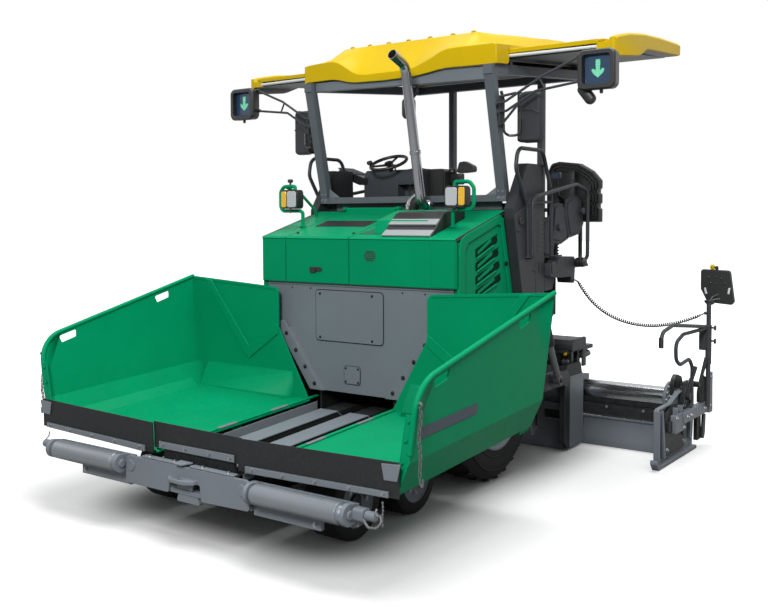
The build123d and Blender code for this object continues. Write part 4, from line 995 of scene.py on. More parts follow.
# Chrome: a hard bright mirror, a little grey from heat.
chrome, tree, shader, place = material("chromed_steel")
shader.inputs["Base Color"].default_value = linear("#9DA0A3")
shader.inputs["Metallic"].default_value = 1.0
shader.inputs["Roughness"].default_value = 0.12
shape = bmesh.new()
tube(shape, [(250, 2130, 1985), (250, 2022, 1995), (250, 1817, 2996), (250, 1654, 3056)], 37, 90, 28,
    steps=10)
make("exhaust_pipe", shape, "tractor", [chrome], bevel=0, replaces=("exhaust",))
shape = bmesh.new()
mouth = Vector((0, -163, 60)).normalized()
turned(shape, [(0.5, 33), (0.5, 0)], (250, 1654, 3056), mouth, 28)
tube(shape, [(150, 2060, 1950), (168, 2062, 2020), (238, 2110, 2040)], 40, 60, 24)
make("exhaust_mouth", shape, "tractor", dark, bevel=0)
shape = bmesh.new()
for spot, turn in (((250, 1944, 2375), (0, -0.2, 0.98)), ((250, 2085, 1988), (0, -1, 0.05))):
    turned(shape, [(-14, 39), (-12, 43), (12, 43), (14, 39)], spot, turn, 28, closed=True)
tube(shape, [(120, 2050, 1955), (128, 2055, 2010), (170, 2085, 2062), (205, 2100, 2064)], 26, 40, 20)
turned(shape, [(-10, 28), (-8, 34), (8, 34), (10, 28)], (125, 2052, 1985), (0.1, 0, 1), 20, closed=True)
make("exhaust_clamps", shape, "tractor", chrome, bevel=1)


# Roof: a moulded glass-fibre shell in yellow gelcoat. Its front fascia has a wavy border, and a raised
# trapezoid hump with lifting hooks runs back from it. It is bolted to the canopy's steel frame.

# Gelcoat: a deep glossy yellow that stays clean.
yellow = enamel("yellow_gelcoat", "#C4A500", rough=0.34, dust=0.02, shine=0.15)


def bottom_of_roof(y):
    """Height of the roof's underside, which climbs to the rear."""
    return 2980 + 0.085 * (y - 2027)


def level_at(points, x):
    """The height of a line through given places, smoothed between them."""
    if x <= points[0][0]:
        return points[0][1]
    for (xa, za), (xb, zb) in zip(points, points[1:]):
        if x <= xb:
            t = (x - xa) / (xb - xa)
            return za + (zb - za) * t
    return points[-1][1]


def outboard(side, near, far):
    """Two limits across the machine on one side of it, in rising order."""
    return sorted((side * near, side * far))


crease = [(-882, 3117), (-850, 3124), (-727, 3131), (-600, 3131), (-555, 3121), (-500, 3094), (-400, 3032),
    (-345, 3009), (-280, 3001), (0, 3002), (150, 3008), (200, 3018), (322, 3064), (420, 3108), (470, 3121),
    (560, 3125), (850, 3125), (882, 3118)]
hem = [(-882, 2988), (-612, 2992), (-540, 2983), (-450, 2961), (-373, 2950), (-102, 2944), (171, 2950),
    (300, 2965), (400, 2980), (460, 2986), (600, 2984), (882, 2979)]
columns = sorted({x for x, z in crease + hem} | set(range(-840, 841, 60)) | {-720, -640, 640, 720})


def roof_top(x, y):
    """The roof's upper surface at a place."""
    base = 3125 + 0.085 * (y - 2027)
    half = 627 + 0.055 * (y - 2250)
    inward = min(1, max(0, (half + 95 - abs(x + 18)) / 95))
    inward = inward * inward * (3 - 2 * inward) * 0.4 + inward * 0.6
    back = min(1, max(0, (3690 - y) / 110))
    crown = base + (121 + 0.003 * (y - 2250)) * inward * back
    edge = 12 * max(0, (abs(x) - 840) / 42) ** 2
    if y >= 2250:
        return crown - edge
    t = (y - 2027) / 223
    front = level_at(crease, x)
    rear = 3125 + 0.085 * 223 + 121 * inward - edge
    return front + (rear - front) * t


shape = bmesh.new()
rows = [[shape.verts.new(at(x, 2050, level_at(hem, x))) for x in columns],
    [shape.verts.new(at(x, 2027, level_at(hem, x) - 1)) for x in columns],
    [shape.verts.new(at(x, 2026, level_at(hem, x) * 0.5 + level_at(crease, x) * 0.5)) for x in columns]]
for y, lift in ((2027, 0), (2042, 3), (2090, 0), (2170, 0), (2250, 0), (2500, 0), (2900, 0), (3300, 0),
        (3580, 0), (3690, 0)):
    rows.append([shape.verts.new(at(x, y, roof_top(x, y) + lift)) for x in columns])
rows.append([shape.verts.new(at(x, 3700, bottom_of_roof(3700) + 8)) for x in columns])
for one, two in zip(rows, rows[1:]):
    for i in range(len(columns) - 1):
        shape.faces.new((one[i], one[i + 1], two[i + 1], two[i]))
bmesh.ops.recalc_face_normals(shape, faces=shape.faces)
bmesh.ops.solidify(shape, geom=shape.faces[:], thickness=0.012)
for side in (1, -1):
    x0, x1 = outboard(side, 868, 888)
    slab_x(shape, rounded([(2027, bottom_of_roof(2027)), (2213, bottom_of_roof(2213)), (2213, 3136),
        (2027, 3120)], [6, 30, 4, 8]), x0, x1)
    slab_x(shape, [(2200, 3092), (3695, 3219), (3695, 3262), (2200, 3135)], x0, x1)
    slab_x(shape, rounded([(3590, 3112), (3700, 3122), (3700, 3262), (3590, 3255)], [30, 4, 4, 4]), x0, x1)
make("roof_moulding", shape, "tractor", yellow, bevel=6, replaces=("roof_shell",),
    smooth=28)
shape = bmesh.new()
for x in (-590, -415, -230, -40, 160, 365, 545):
    y = 2262
    tube(shape, [(x, y, roof_top(x, y) - 12), (x, y, roof_top(x, y) + 9), (x + 34, y, roof_top(x, y) + 9),
        (x + 34, y, roof_top(x, y) - 12)], 6, 7, sides=8)
for x in (-560, 560):
    for y in (2700, 3150, 3500):
        tube(shape, [(x, y, roof_top(x, y) - 12), (x, y, roof_top(x, y) + 9),
            (x, y + 34, roof_top(x, y) + 9), (x, y + 34, roof_top(x, y) - 12)], 6, 7, sides=8)
make("roof_hooks", shape, "tractor", yellow, bevel=0)
shape = bmesh.new()
slab_x(shape, [(2062, bottom_of_roof(2062) + 5), (3680, bottom_of_roof(3680) + 5),
    (3680, bottom_of_roof(3680) + 12), (2062, bottom_of_roof(2062) + 12)], -764, 764)
make("roof_lining", shape, "tractor", black_plastic, bevel=0)

# Roof extensions: yellow panels with a domed outer end, drawn out on chromed rods from under the
# roof. Their undersides are black, and each rests on pads on the canopy's side beam.

# Ground steel: bright and smooth.
chrome_rod = enamel("ground_steel_rod", "#D9DCDD", rough=0.2, dust=0.03, edge=0.0, shine=0.9)
for side, name in both_hands:
    body = "roof_extension_" + name
    shape = bmesh.new()
    outer = [(2218, -22), (2640, -6), (2700, 5), (2830, 50), (3000, 48), (3480, 38), (3532, 46),
        (3536, 128), (3460, 138), (3100, 158), (2760, 165), (2500, 153), (2300, 128), (2222, 112)]
    inner = [(2218, 34), (2640, 36), (2700, 36), (2830, 50), (3000, 48), (3480, 38), (3532, 46), (3536, 86),
        (3460, 90), (3100, 90), (2760, 90), (2500, 90), (2300, 88), (2222, 86)]
    middle = [(y, max(a, b)) if a > 60 else (y, (a * 2 + b) / 3) for (y, a), (_, b) in zip(outer, inner)]
    last = [(y + (18 if y < 2400 else -10 if y > 3400 else 0), a - 14 if a > 60 else a + 6)
        for y, a in outer]
    rings = [[shape.verts.new(at(x, y, bottom_of_roof(y) + h)) for y, h in line]
        for x, line in ((1545, inner), (1632, inner), (1648, middle), (1672, outer), (1684, last))]
    faces = [shape.faces.new(rings[0]), shape.faces.new(rings[-1][::-1])]
    for one, two in zip(rings, rings[1:]):
        for k in range(len(outer)):
            j = (k + 1) % len(outer)
            faces.append(shape.faces.new((one[k], two[k], two[j], one[j])))
            if k < 6 and one is not rings[-2]:
                faces[-1].material_index = 1
    for low, high, y0, y1, x1, finish in ((88, 106, 2222, 3534, 1600, 0), (76, 108, 2218, 2236, 1560, 0),
            (38, 86, 2246, 3526, 1560, 1)):
        slab_x(shape, [(y0, bottom_of_roof(y0) + low), (y1, bottom_of_roof(y1) + low),
            (y1, bottom_of_roof(y1) + high), (y0, bottom_of_roof(y0) + high)], 770, x1, finish)
    make(body + "_panel", shape, body, [yellow, black_plastic], bevel=4, replaces=(body,),
        side=side)
    shape = bmesh.new()
    for y in (2229, 2262, 3500):
        tube(shape, [(772, y, bottom_of_roof(y) + 62), (1552, y, bottom_of_roof(y) + 56)], 12, sides=14)
    make(body + "_rods", shape, body, chrome_rod, bevel=0, side=side)

# Canopy details: a pressed beam under the fascia, cast feet that clamp the posts to the cross rail,
# and bolted clamps half way up that carry the mirror arms.

# Canopy enamel: a mid grey on the posts. Charcoal enamel: darker, on what is bolted to them, and made
# darker still as painted shade of the parts under the roof.
canopy_enamel = enamel("canopy_enamel", "#565C62", rough=0.45, dust=0.08, shine=0.25)
charcoal = enamel("charcoal_enamel", "#36393C", rough=0.48, dust=0.08, shine=0.25)
wear("canopy_frame", canopy_enamel)
shape = bmesh.new()
slab_y(shape, [(-858, 2915), (858, 2880), (858, 2975), (-858, 2985)], 2060, 2070)
slab_y(shape, [(-858, 2915), (858, 2880), (858, 2890), (-858, 2925)], 2070, 2110)
for side in (1, -1):
    foot = [(795, 2012), (795, 2100), (809, 2150), (851, 2150), (867, 2100), (867, 2012)]
    slab_y(shape, [(side * x, z) for x, z in foot], 2198, 2204)
    slab_y(shape, [(side * x, z) for x, z in ((690, 2060), (796, 2130), (796, 2060))], 2222, 2234)
make("canopy_plates", shape, "tractor", grey, bevel=2)
spots = [(at(side * x, 2197.5, z), facing_front, 1.0) for side in (1, -1) for x in (812, 850)
    for z in (2035, 2085)]
repeat("canopy_bolts", bolt_head(), spots, "tractor", grey)
for side, name in both_hands:
    shape = bmesh.new()
    for y, z in ((2088, 2645), (2073, 2704), (2108, 2560)):
        slab_x(shape, oblong(y - 26, y + 26, z - 17, z + 17, 6), 865.5, 882)
        slab_x(shape, oblong(y - 12, y + 12, z - 12, z + 12, 4), 882, 902)
        turned(shape, [(0, 7), (34, 7)], (880, y - 18, z), (1, 0, 0), sides=8)
    slab_x(shape, rounded([(2060, 2540), (2150, 2530), (2110, 2760), (2065, 2760)], 12), 884, 890)
    tube(shape, [(884, 2100, 2790), (884, 2130, 2740), (884, 2130, 2560)], 12, 20, sides=8)
    tube(shape, [(896, 2090, 2640), (935, 2091, 2650), (1150, 2108, 2772), (1492, 2110, 2812)], 9.5, 40,
        sides=10)
    tube(shape, [(896, 2075, 2704), (935, 2078, 2716), (1200, 2105, 2868), (1492, 2110, 2985)], 9.5, 40,
        sides=10)
    tube(shape, [(896, 2080, 2752), (1010, 2085, 2768)], 9.5, sides=10)
    tube(shape, [(896, 2104, 2566), (1020, 2098, 2690)], 9.5, sides=10)
    tube(shape, [(1222, 2108, 2782), (1180, 2106, 2862)], 7, sides=8)
    make("display_arms_" + name, shape, "tractor", charcoal, bevel=0, side=side,
        replaces=("mirror_arms",) if side > 0 else ())

# Arrow displays: black plastic housings with a deep square hood, and in each a dark blue panel that
# shows a mint arrow of small lamps, pointing down.

# Display glass: blue-black with a faint grid, lit a little from behind.
panel_blue, tree, shader, place = material("display_panel")
dots = add(tree, "ShaderNodeTexVoronoi", {"Vector": place, "Scale": 95.0, "Randomness": 0.0})
tone = add(tree, "ShaderNodeMix", {"Factor": dots.outputs["Distance"], "A": linear("#143B5C"),
    "B": linear("#0A2136")}, data_type="RGBA")
tree.links.new(tone.outputs["Result"], shader.inputs["Base Color"])
shader.inputs["Roughness"].default_value = 0.3
shader.inputs["Emission Color"].default_value = linear("#0F2E4A")
shader.inputs["Emission Strength"].default_value = 0.3
# Lamp dots: mint green, set so close that they read as one arrow.
mint, tree, shader, place = material("mint_lamps")
dots = add(tree, "ShaderNodeTexVoronoi", {"Vector": place, "Scale": 95.0, "Randomness": 0.0})
tone = add(tree, "ShaderNodeMix", {"Factor": dots.outputs["Distance"], "A": linear("#8FF0C4"),
    "B": linear("#2E9A78")}, data_type="RGBA")
tree.links.new(tone.outputs["Result"], shader.inputs["Base Color"])
tree.links.new(tone.outputs["Result"], shader.inputs["Emission Color"])
shader.inputs["Roughness"].default_value = 0.4
shader.inputs["Emission Strength"].default_value = 0.12
for side, name in both_hands:
    shape = bmesh.new()
    rings = []
    for y, outline in ((2150, oblong(1510, 1735, 2762, 2985, 30)),
            (2130, oblong(1494, 1751, 2744, 3001, 42)), (2056, oblong(1488, 1757, 2738, 3006, 44)),
            (2041, oblong(1497, 1748, 2747, 2997, 40)), (2041, oblong(1522, 1722, 2776, 2972, 24)),
            (2100, oblong(1532, 1713, 2785, 2962, 14))):
        rings.append([shape.verts.new(at(x, y, z)) for x, z in outline])
    shape.faces.new(rings[0])
    shape.faces.new(rings[-1])
    skin(shape, rings)
    turned(shape, [(0, 14), (36, 14)], (1500, 2112, 2812), (-1, 0, 0), sides=12)
    turned(shape, [(0, 14), (36, 14)], (1500, 2112, 2984), (-1, 0, 0), sides=12)
    turned(shape, [(0, 12), (18, 12), (26, 9)], (1640, 2100, 2742), (0, 0, -1), sides=12)
    make("display_housing_" + name, shape, "tractor", black_plastic, bevel=2, side=side,
        replaces=("arrow_displays",) if side > 0 else ())
    shape = bmesh.new()
    slab_y(shape, oblong(1530, 1715, 2783, 2964, 12), 2084, 2098)
    make("display_panel_" + name, shape, "tractor", panel_blue, bevel=0, side=side)
    shape = bmesh.new()
    arrow = [(1608, 2940), (1637, 2940), (1637, 2932), (1641, 2924), (1637, 2916), (1641, 2908),
        (1637, 2900), (1637, 2868), (1658, 2882), (1668, 2874), (1660, 2852), (1640, 2834), (1622, 2820),
        (1605, 2834), (1585, 2852), (1577, 2874), (1587, 2882), (1608, 2868), (1608, 2900), (1604, 2908),
        (1608, 2916), (1604, 2924), (1608, 2932)]
    slab_y(shape, arrow, 2081, 2085)
    make("display_arrow_" + name, shape, "tractor", mint, bevel=0, side=side)

# Rear-view mirrors: black plastic shells on bent tubes. Two large ones stand beside the posts, a small
# one hangs under the left display, and one hangs from the canopy's front beam.

# Shell plastic: a dull charcoal, made darker still as painted shade under the roof.
shell_grey = enamel("mirror_shell_plastic", "#2C2F32", rough=0.5, dust=0.05)


def mirror_shell(shape, x0, x1, y, z0, z1, deep, radius, finish=0):
    """A crowned shell with rounded corners, its flat side to the rear."""
    rings = []
    for inset, back in ((0, deep), (0, deep * 0.45), (6, deep * 0.18), (20, 0)):
        rings.append([shape.verts.new(at(px, y + back, pz)) for px, pz in oblong(x0 + inset, x1 - inset,
            z0 + inset, z1 - inset, max(4, radius - inset))])
    for face in [shape.faces.new(rings[0]), shape.faces.new(rings[-1])] + skin(shape, rings):
        face.material_index = finish


for side, name in both_hands:
    shape = bmesh.new()
    mirror_shell(shape, 985, 1150, 2186, 2425, 2790, 58, 34)
    mirror_shell(shape, 962, 1014, 2172, 2430, 2786, 74, 22, 1)
    slab_y(shape, rounded([(985, 2648), (1080, 2650), (1140, 2624), (1140, 2634), (1080, 2662),
        (985, 2660)], 2), 2182, 2192, 1)
    tube(shape, [(898, 2110, 2560), (900, 2112, 2500), (925, 2140, 2476), (1004, 2160, 2478),
        (1004, 2162, 2600)], 9.5, 40, sides=10, finish=1)
    make("mirror_" + name, shape, "tractor", [shell_grey, black_plastic], bevel=2,
        side=side)
shape = bmesh.new()
mirror_shell(shape, -38, 38, 0, -78, 78, 40, 34)
bmesh.ops.translate(shape, verts=shape.verts, vec=-at(0, 0, 0))
bmesh.ops.rotate(shape, verts=shape.verts, cent=(0, 0, 0), matrix=Matrix.Rotation(radians(-38), 3, "Y"))
bmesh.ops.translate(shape, verts=shape.verts, vec=at(1528, 2090, 2722))
tube(shape, [(1500, 2112, 2780), (1512, 2112, 2740), (1528, 2108, 2724)], 9, 10, sides=8)
make("lower_mirror", shape, "tractor", black_plastic, bevel=2)
shape = bmesh.new()
mirror_shell(shape, -14, 96, 2135, 2652, 2816, 46, 40)
tube(shape, [(140, 2110, 2905), (146, 2140, 2856), (84, 2150, 2796)], 9, 20, sides=8)
tube(shape, [(60, 2112, 2905), (50, 2150, 2800)], 9, 0, sides=8)
slab_z(shape, oblong(40, 164, 2084, 2140, 8), 2886, 2900)
make("front_mirror", shape, "tractor", black_plastic, bevel=2)


# Platform: the operator's floor of raised-pattern plate on a welded frame, with a low steel box on each
# side, which carries a rolled-up cover and the socket of the control cord.
shape = bmesh.new()
block(shape, -870, 870, 2313, 3650, 1475, 1500)
block(shape, -860, 860, 3030, 3050, 1113, 1480)
for side in (1, -1):
    block(shape, *outboard(side, 480, 500), 2400, 3040, 1113, 1480)
    block(shape, *outboard(side, 480, 500), 2400, 3600, 1400, 1480)
    for y in (2970, 3110):
        block(shape, *outboard(side, 500, 870), y, y + 40, 1500, 1571)
    box = [(2668, 1442), (2668, 1546), (2763, 1519), (2792, 1538), (2846, 1588), (3088, 1582), (3110, 1545),
        (3092, 1372), (3052, 1372), (3028, 1423), (2764, 1429)]
    slab_x(shape, rounded(box, [8, 8, 12, 12, 12, 12, 12, 8, 8, 12, 12]), *outboard(side, 872, 1000))
    slab_x(shape, rounded([(2668, 1328), (2668, 1440), (2842, 1426), (2800, 1338)], 10),
        *outboard(side, 872, 950))
    slab_x(shape, rounded([(2680, 1470), (2680, 1560), (2745, 1545), (2745, 1470)], 8),
        *outboard(side, 1000, 1008), 1)
    turned(shape, [(-20, 12), (0, 30), (12, 37), (74, 37), (88, 26), (92, 0)], (side * 1000, 3112, 1536),
        (side, 0, 0), sides=28, finish=1)
    for x in (1024, 1050):
        turned(shape, [(0, 40), (12, 40)], (side * x, 3112, 1536), (side, 0, 0), sides=28, finish=1)
make("platform_frame", shape, "tractor", [charcoal, black_plastic], bevel=3,
    replaces=("platform",))
lozenge = bmesh.new()
slab(lozenge, [(1000 * x, midway + 1000 * y, 0) for x, y in ((-0.016, 0), (-0.008, -0.004), (0.008, -0.004),
    (0.016, 0), (0.008, 0.004), (-0.008, 0.004))], (0, 0, 2))
spots = [(at(-840 + 42 * i, 2340 + 42 * k, 1500), (0, 0, pi / 4 * (1 if (i + k) % 2 else -1)), 1.0)
    for i in range(41) for k in range(31)]
repeat("floor_pattern", lozenge, spots, "tractor", charcoal)

# Side bodies: folded sheet cabinets beside the operator, with a thicker front plate bolted outside, a
# rubber grommet, and black gaps at the joints.

# Cabinet enamel: nearly black, dull, and made darker still as painted shade under the roof.
cabinet = enamel("cabinet_enamel", "#272A2D", rough=0.5, dust=0.12)
wear("side_body", cabinet)
facing_left = (0, pi / 2, 0)
for side, name in both_hands:
    shape = bmesh.new()
    plate = [(2306, 1150), (2298, 1310), (2172, 1880), (2178, 1922), (2392, 1998), (2430, 1985),
        (2496, 1440), (2510, 1150)]
    slab_x(shape, rounded(plate, [6, 60, 20, 20, 30, 16, 16, 6]), 950, 957)
    slab_x(shape, rounded([(2524, 1150), (2510, 1440), (2452, 1960), (2640, 1960), (2652, 1150)], 8), 950,
        953)
    make("side_plate_" + name, shape, "tractor", charcoal, bevel=2, side=side)
    shape = bmesh.new()
    turned(shape, [(0, 30), (8, 32), (14, 24), (8, 16)], (957, 2262, 1868), (1, 0, 0), sides=24)
    slab_x(shape, [(2498, 1440), (2512, 1440), (2448, 1990), (2434, 1990)], 949, 952)
    slab_x(shape, oblong(2560, 2625, 1480, 1560, 8), 953, 956)
    for k in range(7):
        slab_x(shape, oblong(2545, 2625, 1640 + 34 * k, 1654 + 34 * k, 6), 953, 956)
    make("side_trim_" + name, shape, "tractor", black_plastic, bevel=1, side=side)
    spots = [(at(957, y, z), facing_left, 1.0) for y, z in ((2326, 1170), (2490, 1170), (2222, 1800),
        (2456, 1700), (2476, 1500))]
    repeat("side_bolts_" + name, bolt_head(), spots, "tractor", charcoal, side=side)

# Handrails: bent and welded steel tube in dark enamel. An inner loop stands on each cabinet, an outer
# one runs past the seat, and one crosses behind the operator.

# Rail enamel: dark grey with a soft shine along each bend.
rail_enamel = enamel("rail_enamel", "#2E3236", rough=0.42, dust=0.1)
for side, name in both_hands:
    shape = bmesh.new()
    tube(shape, [(967, 2362, 1600), (967, 2345, 1985), (967, 2165, 2245), (967, 2195, 2393),
        (967, 2590, 2393), (967, 2730, 2100), (967, 2748, 1590)], 15, 90, sides=16, steps=8)
    tube(shape, [(955, 2358, 1600), (1004, 2358, 1600), (1004, 2358, 2040), (1004, 3110, 2152),
        (1004, 3330, 2110), (1004, 3330, 1535), (874, 3330, 1535)], 15, 70, sides=16, steps=8)
    tube(shape, [(967, 2345, 1998), (967, 2745, 2010)], 11, sides=12)
    for y in (2362, 2748):
        turned(shape, [(0, 34), (8, 34)], (967, y, 1596), (0, 0, 1), sides=20)
    if side > 0:
        tube(shape, [(-840, 3551, 1500), (-840, 3551, 1940), (-400, 3551, 1960), (400, 3551, 1960),
            (840, 3551, 1940), (840, 3551, 1500)], 17, 80, sides=16, steps=8)
    make("handrail_" + name, shape, "tractor", rail_enamel, bevel=0, side=side,
        replaces=("handrails",) if side > 0 else ())

# Console: a moulded plastic desk across the right of the platform, with a dark well for switches, a
# padded arm wing at its end and a second, rounded cabinet.

# Desk plastic: a slate grey, dull and a little dusty, made darker as painted shade under the roof.
desk = enamel("desk_plastic", "#3C4146", rough=0.55, dust=0.08, edge=0.2)
shape = bmesh.new()
front = [(2672, 2040), (2672, 2230), (2692, 2288), (2720, 2300), (2880, 2300), (2880, 2040)]
slab_x(shape, rounded(front, [12, 30, 30, 20, 12, 12]), -776, -420)
slab_x(shape, rounded(front, [12, 30, 30, 20, 12, 12]), -238, -180)
slab_x(shape, rounded([(2672, 2168), (2672, 2230), (2692, 2288), (2720, 2300), (2880, 2300), (2880, 2168)],
    [8, 30, 30, 20, 12, 8]), -421, -237)
slab_x(shape, [(2760, 2040), (2760, 2170), (2880, 2170), (2880, 2040)], -421, -237, 1)
slab_y(shape, oblong(-700, -400, 1500, 2045, 20), 2690, 2860, 1)
slab_y(shape, rounded([(-770, 2236), (-1052, 2330), (-1056, 2262), (-1020, 2250), (-820, 2176),
    (-736, 2180), (-730, 2236)], [10, 30, 10, 20, 20, 20, 10]), 2660, 2850, 1)
slab_y(shape, rounded([(-860, 2272), (-1040, 2335), (-1046, 2322), (-870, 2262)], 4), 2650, 2858)
slab_y(shape, oblong(-174, -10, 2046, 2297, 34), 2764, 2884, 1)
slab_y(shape, oblong(-158, -26, 2062, 2281, 24), 2758, 2764, 1)
for k in range(5):
    turned(shape, [(0, 8), (10, 8), (16, 5)], (-700 + 48 * k, 2760, 2300), (0, 0, 1), sides=12, finish=1)
for k in range(3):
    slab_y(shape, oblong(-405 + 55 * k, -365 + 55 * k, 2070, 2120, 6), 2752, 2760)
for x in (-600, -300):
    slab_x(shape, [(2671, 2050), (2671, 2226), (2674, 2226), (2674, 2050)], x - 2, x + 2, 1)
make("console_desk", shape, "tractor", [desk, black_plastic], bevel=5,
    replaces=("console",))
shape = bmesh.new()
block(shape, -50, 72, 2860, 2944, 2168, 2258)
slab_y(shape, rounded([(30, 2262), (60, 2352), (110, 2358), (196, 2316), (200, 2268), (120, 2262)], 18),
    2872, 2936)
tube(shape, [(10, 2900, 1500), (10, 2900, 2180)], 24, sides=16)
turned(shape, [(0, 26), (20, 34), (44, 26), (50, 0)], (-10, 2888, 2258), (0, -0.3, 1), sides=20)
make("second_control", shape, "tractor", black_plastic, bevel=5)

# Steering wheel: a black rubber-covered ring on three flat spokes with a spinner knob, on a raked
# column that rises from the desk.
shape = bmesh.new()
lean = Matrix.Rotation(radians(24), 3, "X")
hub = (-505, 2660, 2356)
ring = []
for i in range(48):
    a = 2 * pi * i / 48
    out_way = Vector((cos(a), sin(a), 0))
    ring.append([shape.verts.new(at(*hub) + lean @ (out_way * (0.157 + 0.014 * cos(2 * pi * k / 12))
        + Vector((0, 0, 0.014 * sin(2 * pi * k / 12))))) for k in range(12)])
skin(shape, ring + ring[:1])


def on_ring(x, y, z):
    """A place given in mm on the leaning steering wheel."""
    spot = lean @ Vector((x, y, z))
    return (hub[0] + spot.x, hub[1] + spot.y, hub[2] + spot.z)


for a in (radians(90), radians(210), radians(330)):
    tube(shape, [on_ring(30 * cos(a), 30 * sin(a), -14), on_ring(150 * cos(a), 150 * sin(a), 0)], [11, 9],
        sides=8)
turned(shape, [(-26, 24), (-20, 36), (6, 38), (12, 26), (12, 0)], hub, lean @ Vector((0, 0, 1)), sides=24)
tube(shape, [hub, (hub[0], 2700, 2292)], 20, sides=16)
knob = on_ring(-128, -90, 0)
turned(shape, [(0, 8), (26, 8), (28, 20), (40, 26), (54, 22), (58, 0)], knob, lean @ Vector((0, 0, 1)),
    sides=20)
make("steering_ring", shape, "tractor", black_plastic, bevel=0,
    replaces=("steering_wheel",))

# Seats: each slides inboard on the platform. A ribbed black shell stands behind a padded cushion and
# back, a bellows covers the spring, and three overlapping guard boards with knobs hang outboard.

# Board plastic: dark grey, made darker still as painted shade under the roof, with edges paler as wear and
# as a painted highlight.
board_grey = enamel("guard_board_plastic", "#32363A", rough=0.5, dust=0.08, edge=0.35)
# Seat vinyl: embossed grain, black with a slight sheen.
seat_cloth, tree, shader, place = material("black_seat_vinyl")
grain = add(tree, "ShaderNodeTexVoronoi", {"Vector": place, "Scale": 420.0})
tone = add(tree, "ShaderNodeMix", {"Factor": grain.outputs["Distance"], "A": linear("#17181A"),
    "B": linear("#26282B")}, data_type="RGBA")
tree.links.new(tone.outputs["Result"], shader.inputs["Base Color"])
shader.inputs["Roughness"].default_value = 0.55
bump = add(tree, "ShaderNodeBump", {"Height": grain.outputs["Distance"], "Strength": 0.4,
    "Distance": 0.0006})
tree.links.new(bump.outputs[0], shader.inputs["Normal"])


def pad(name, outline, low, high, axis, body, side, swell):
    """A stuffed pad: a closed form remeshed, blown up by Cloth pressure, capped, then smoothed."""
    shape = bmesh.new()
    (slab_z if axis == "z" else slab_y)(shape, outline, low, high)
    if side < 0:
        bmesh.ops.scale(shape, vec=(-1, 1, 1), verts=shape.verts)
    bmesh.ops.recalc_face_normals(shape, faces=shape.faces)
    mesh = bpy.data.meshes.new(name)
    shape.to_mesh(mesh)
    shape.free()
    mesh.materials.append(seat_cloth)
    piece = bpy.data.objects.new(name, mesh)
    bpy.context.scene.collection.objects.link(piece)
    grid = piece.modifiers.new("grid", "REMESH")
    grid.mode = "VOXEL"
    grid.voxel_size = 0.009
    bpy.context.view_layer.update()
    dense = bpy.data.meshes.new_from_object(piece.evaluated_get(bpy.context.evaluated_depsgraph_get()))
    piece.modifiers.remove(grid)
    piece.data = dense
    dense.materials.clear()
    dense.materials.append(seat_cloth)
    before = [v.co.copy() for v in dense.vertices]
    puffed = piece.modifiers.new("puffed", "CLOTH")
    puffed.settings.use_pressure = True
    puffed.settings.uniform_pressure_force = 4.0
    puffed.settings.effector_weights.gravity = 0.0
    for frame_number in range(1, 21):
        bpy.context.scene.frame_set(frame_number)
    blown = piece.evaluated_get(bpy.context.evaluated_depsgraph_get()).to_mesh()
    after = [v.co.copy() for v in blown.vertices]
    piece.modifiers.remove(puffed)
    for vertex, was, now in zip(dense.vertices, before, after):
        moved = now - was
        vertex.co = was + moved * min(1.0, swell / 1000 / max(moved.length, 1e-9))
    bpy.context.scene.frame_set(1)
    dense.shade_smooth()
    soft = piece.modifiers.new("soft", "SUBSURF")
    soft.levels = soft.render_levels = 1
    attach(piece, body)


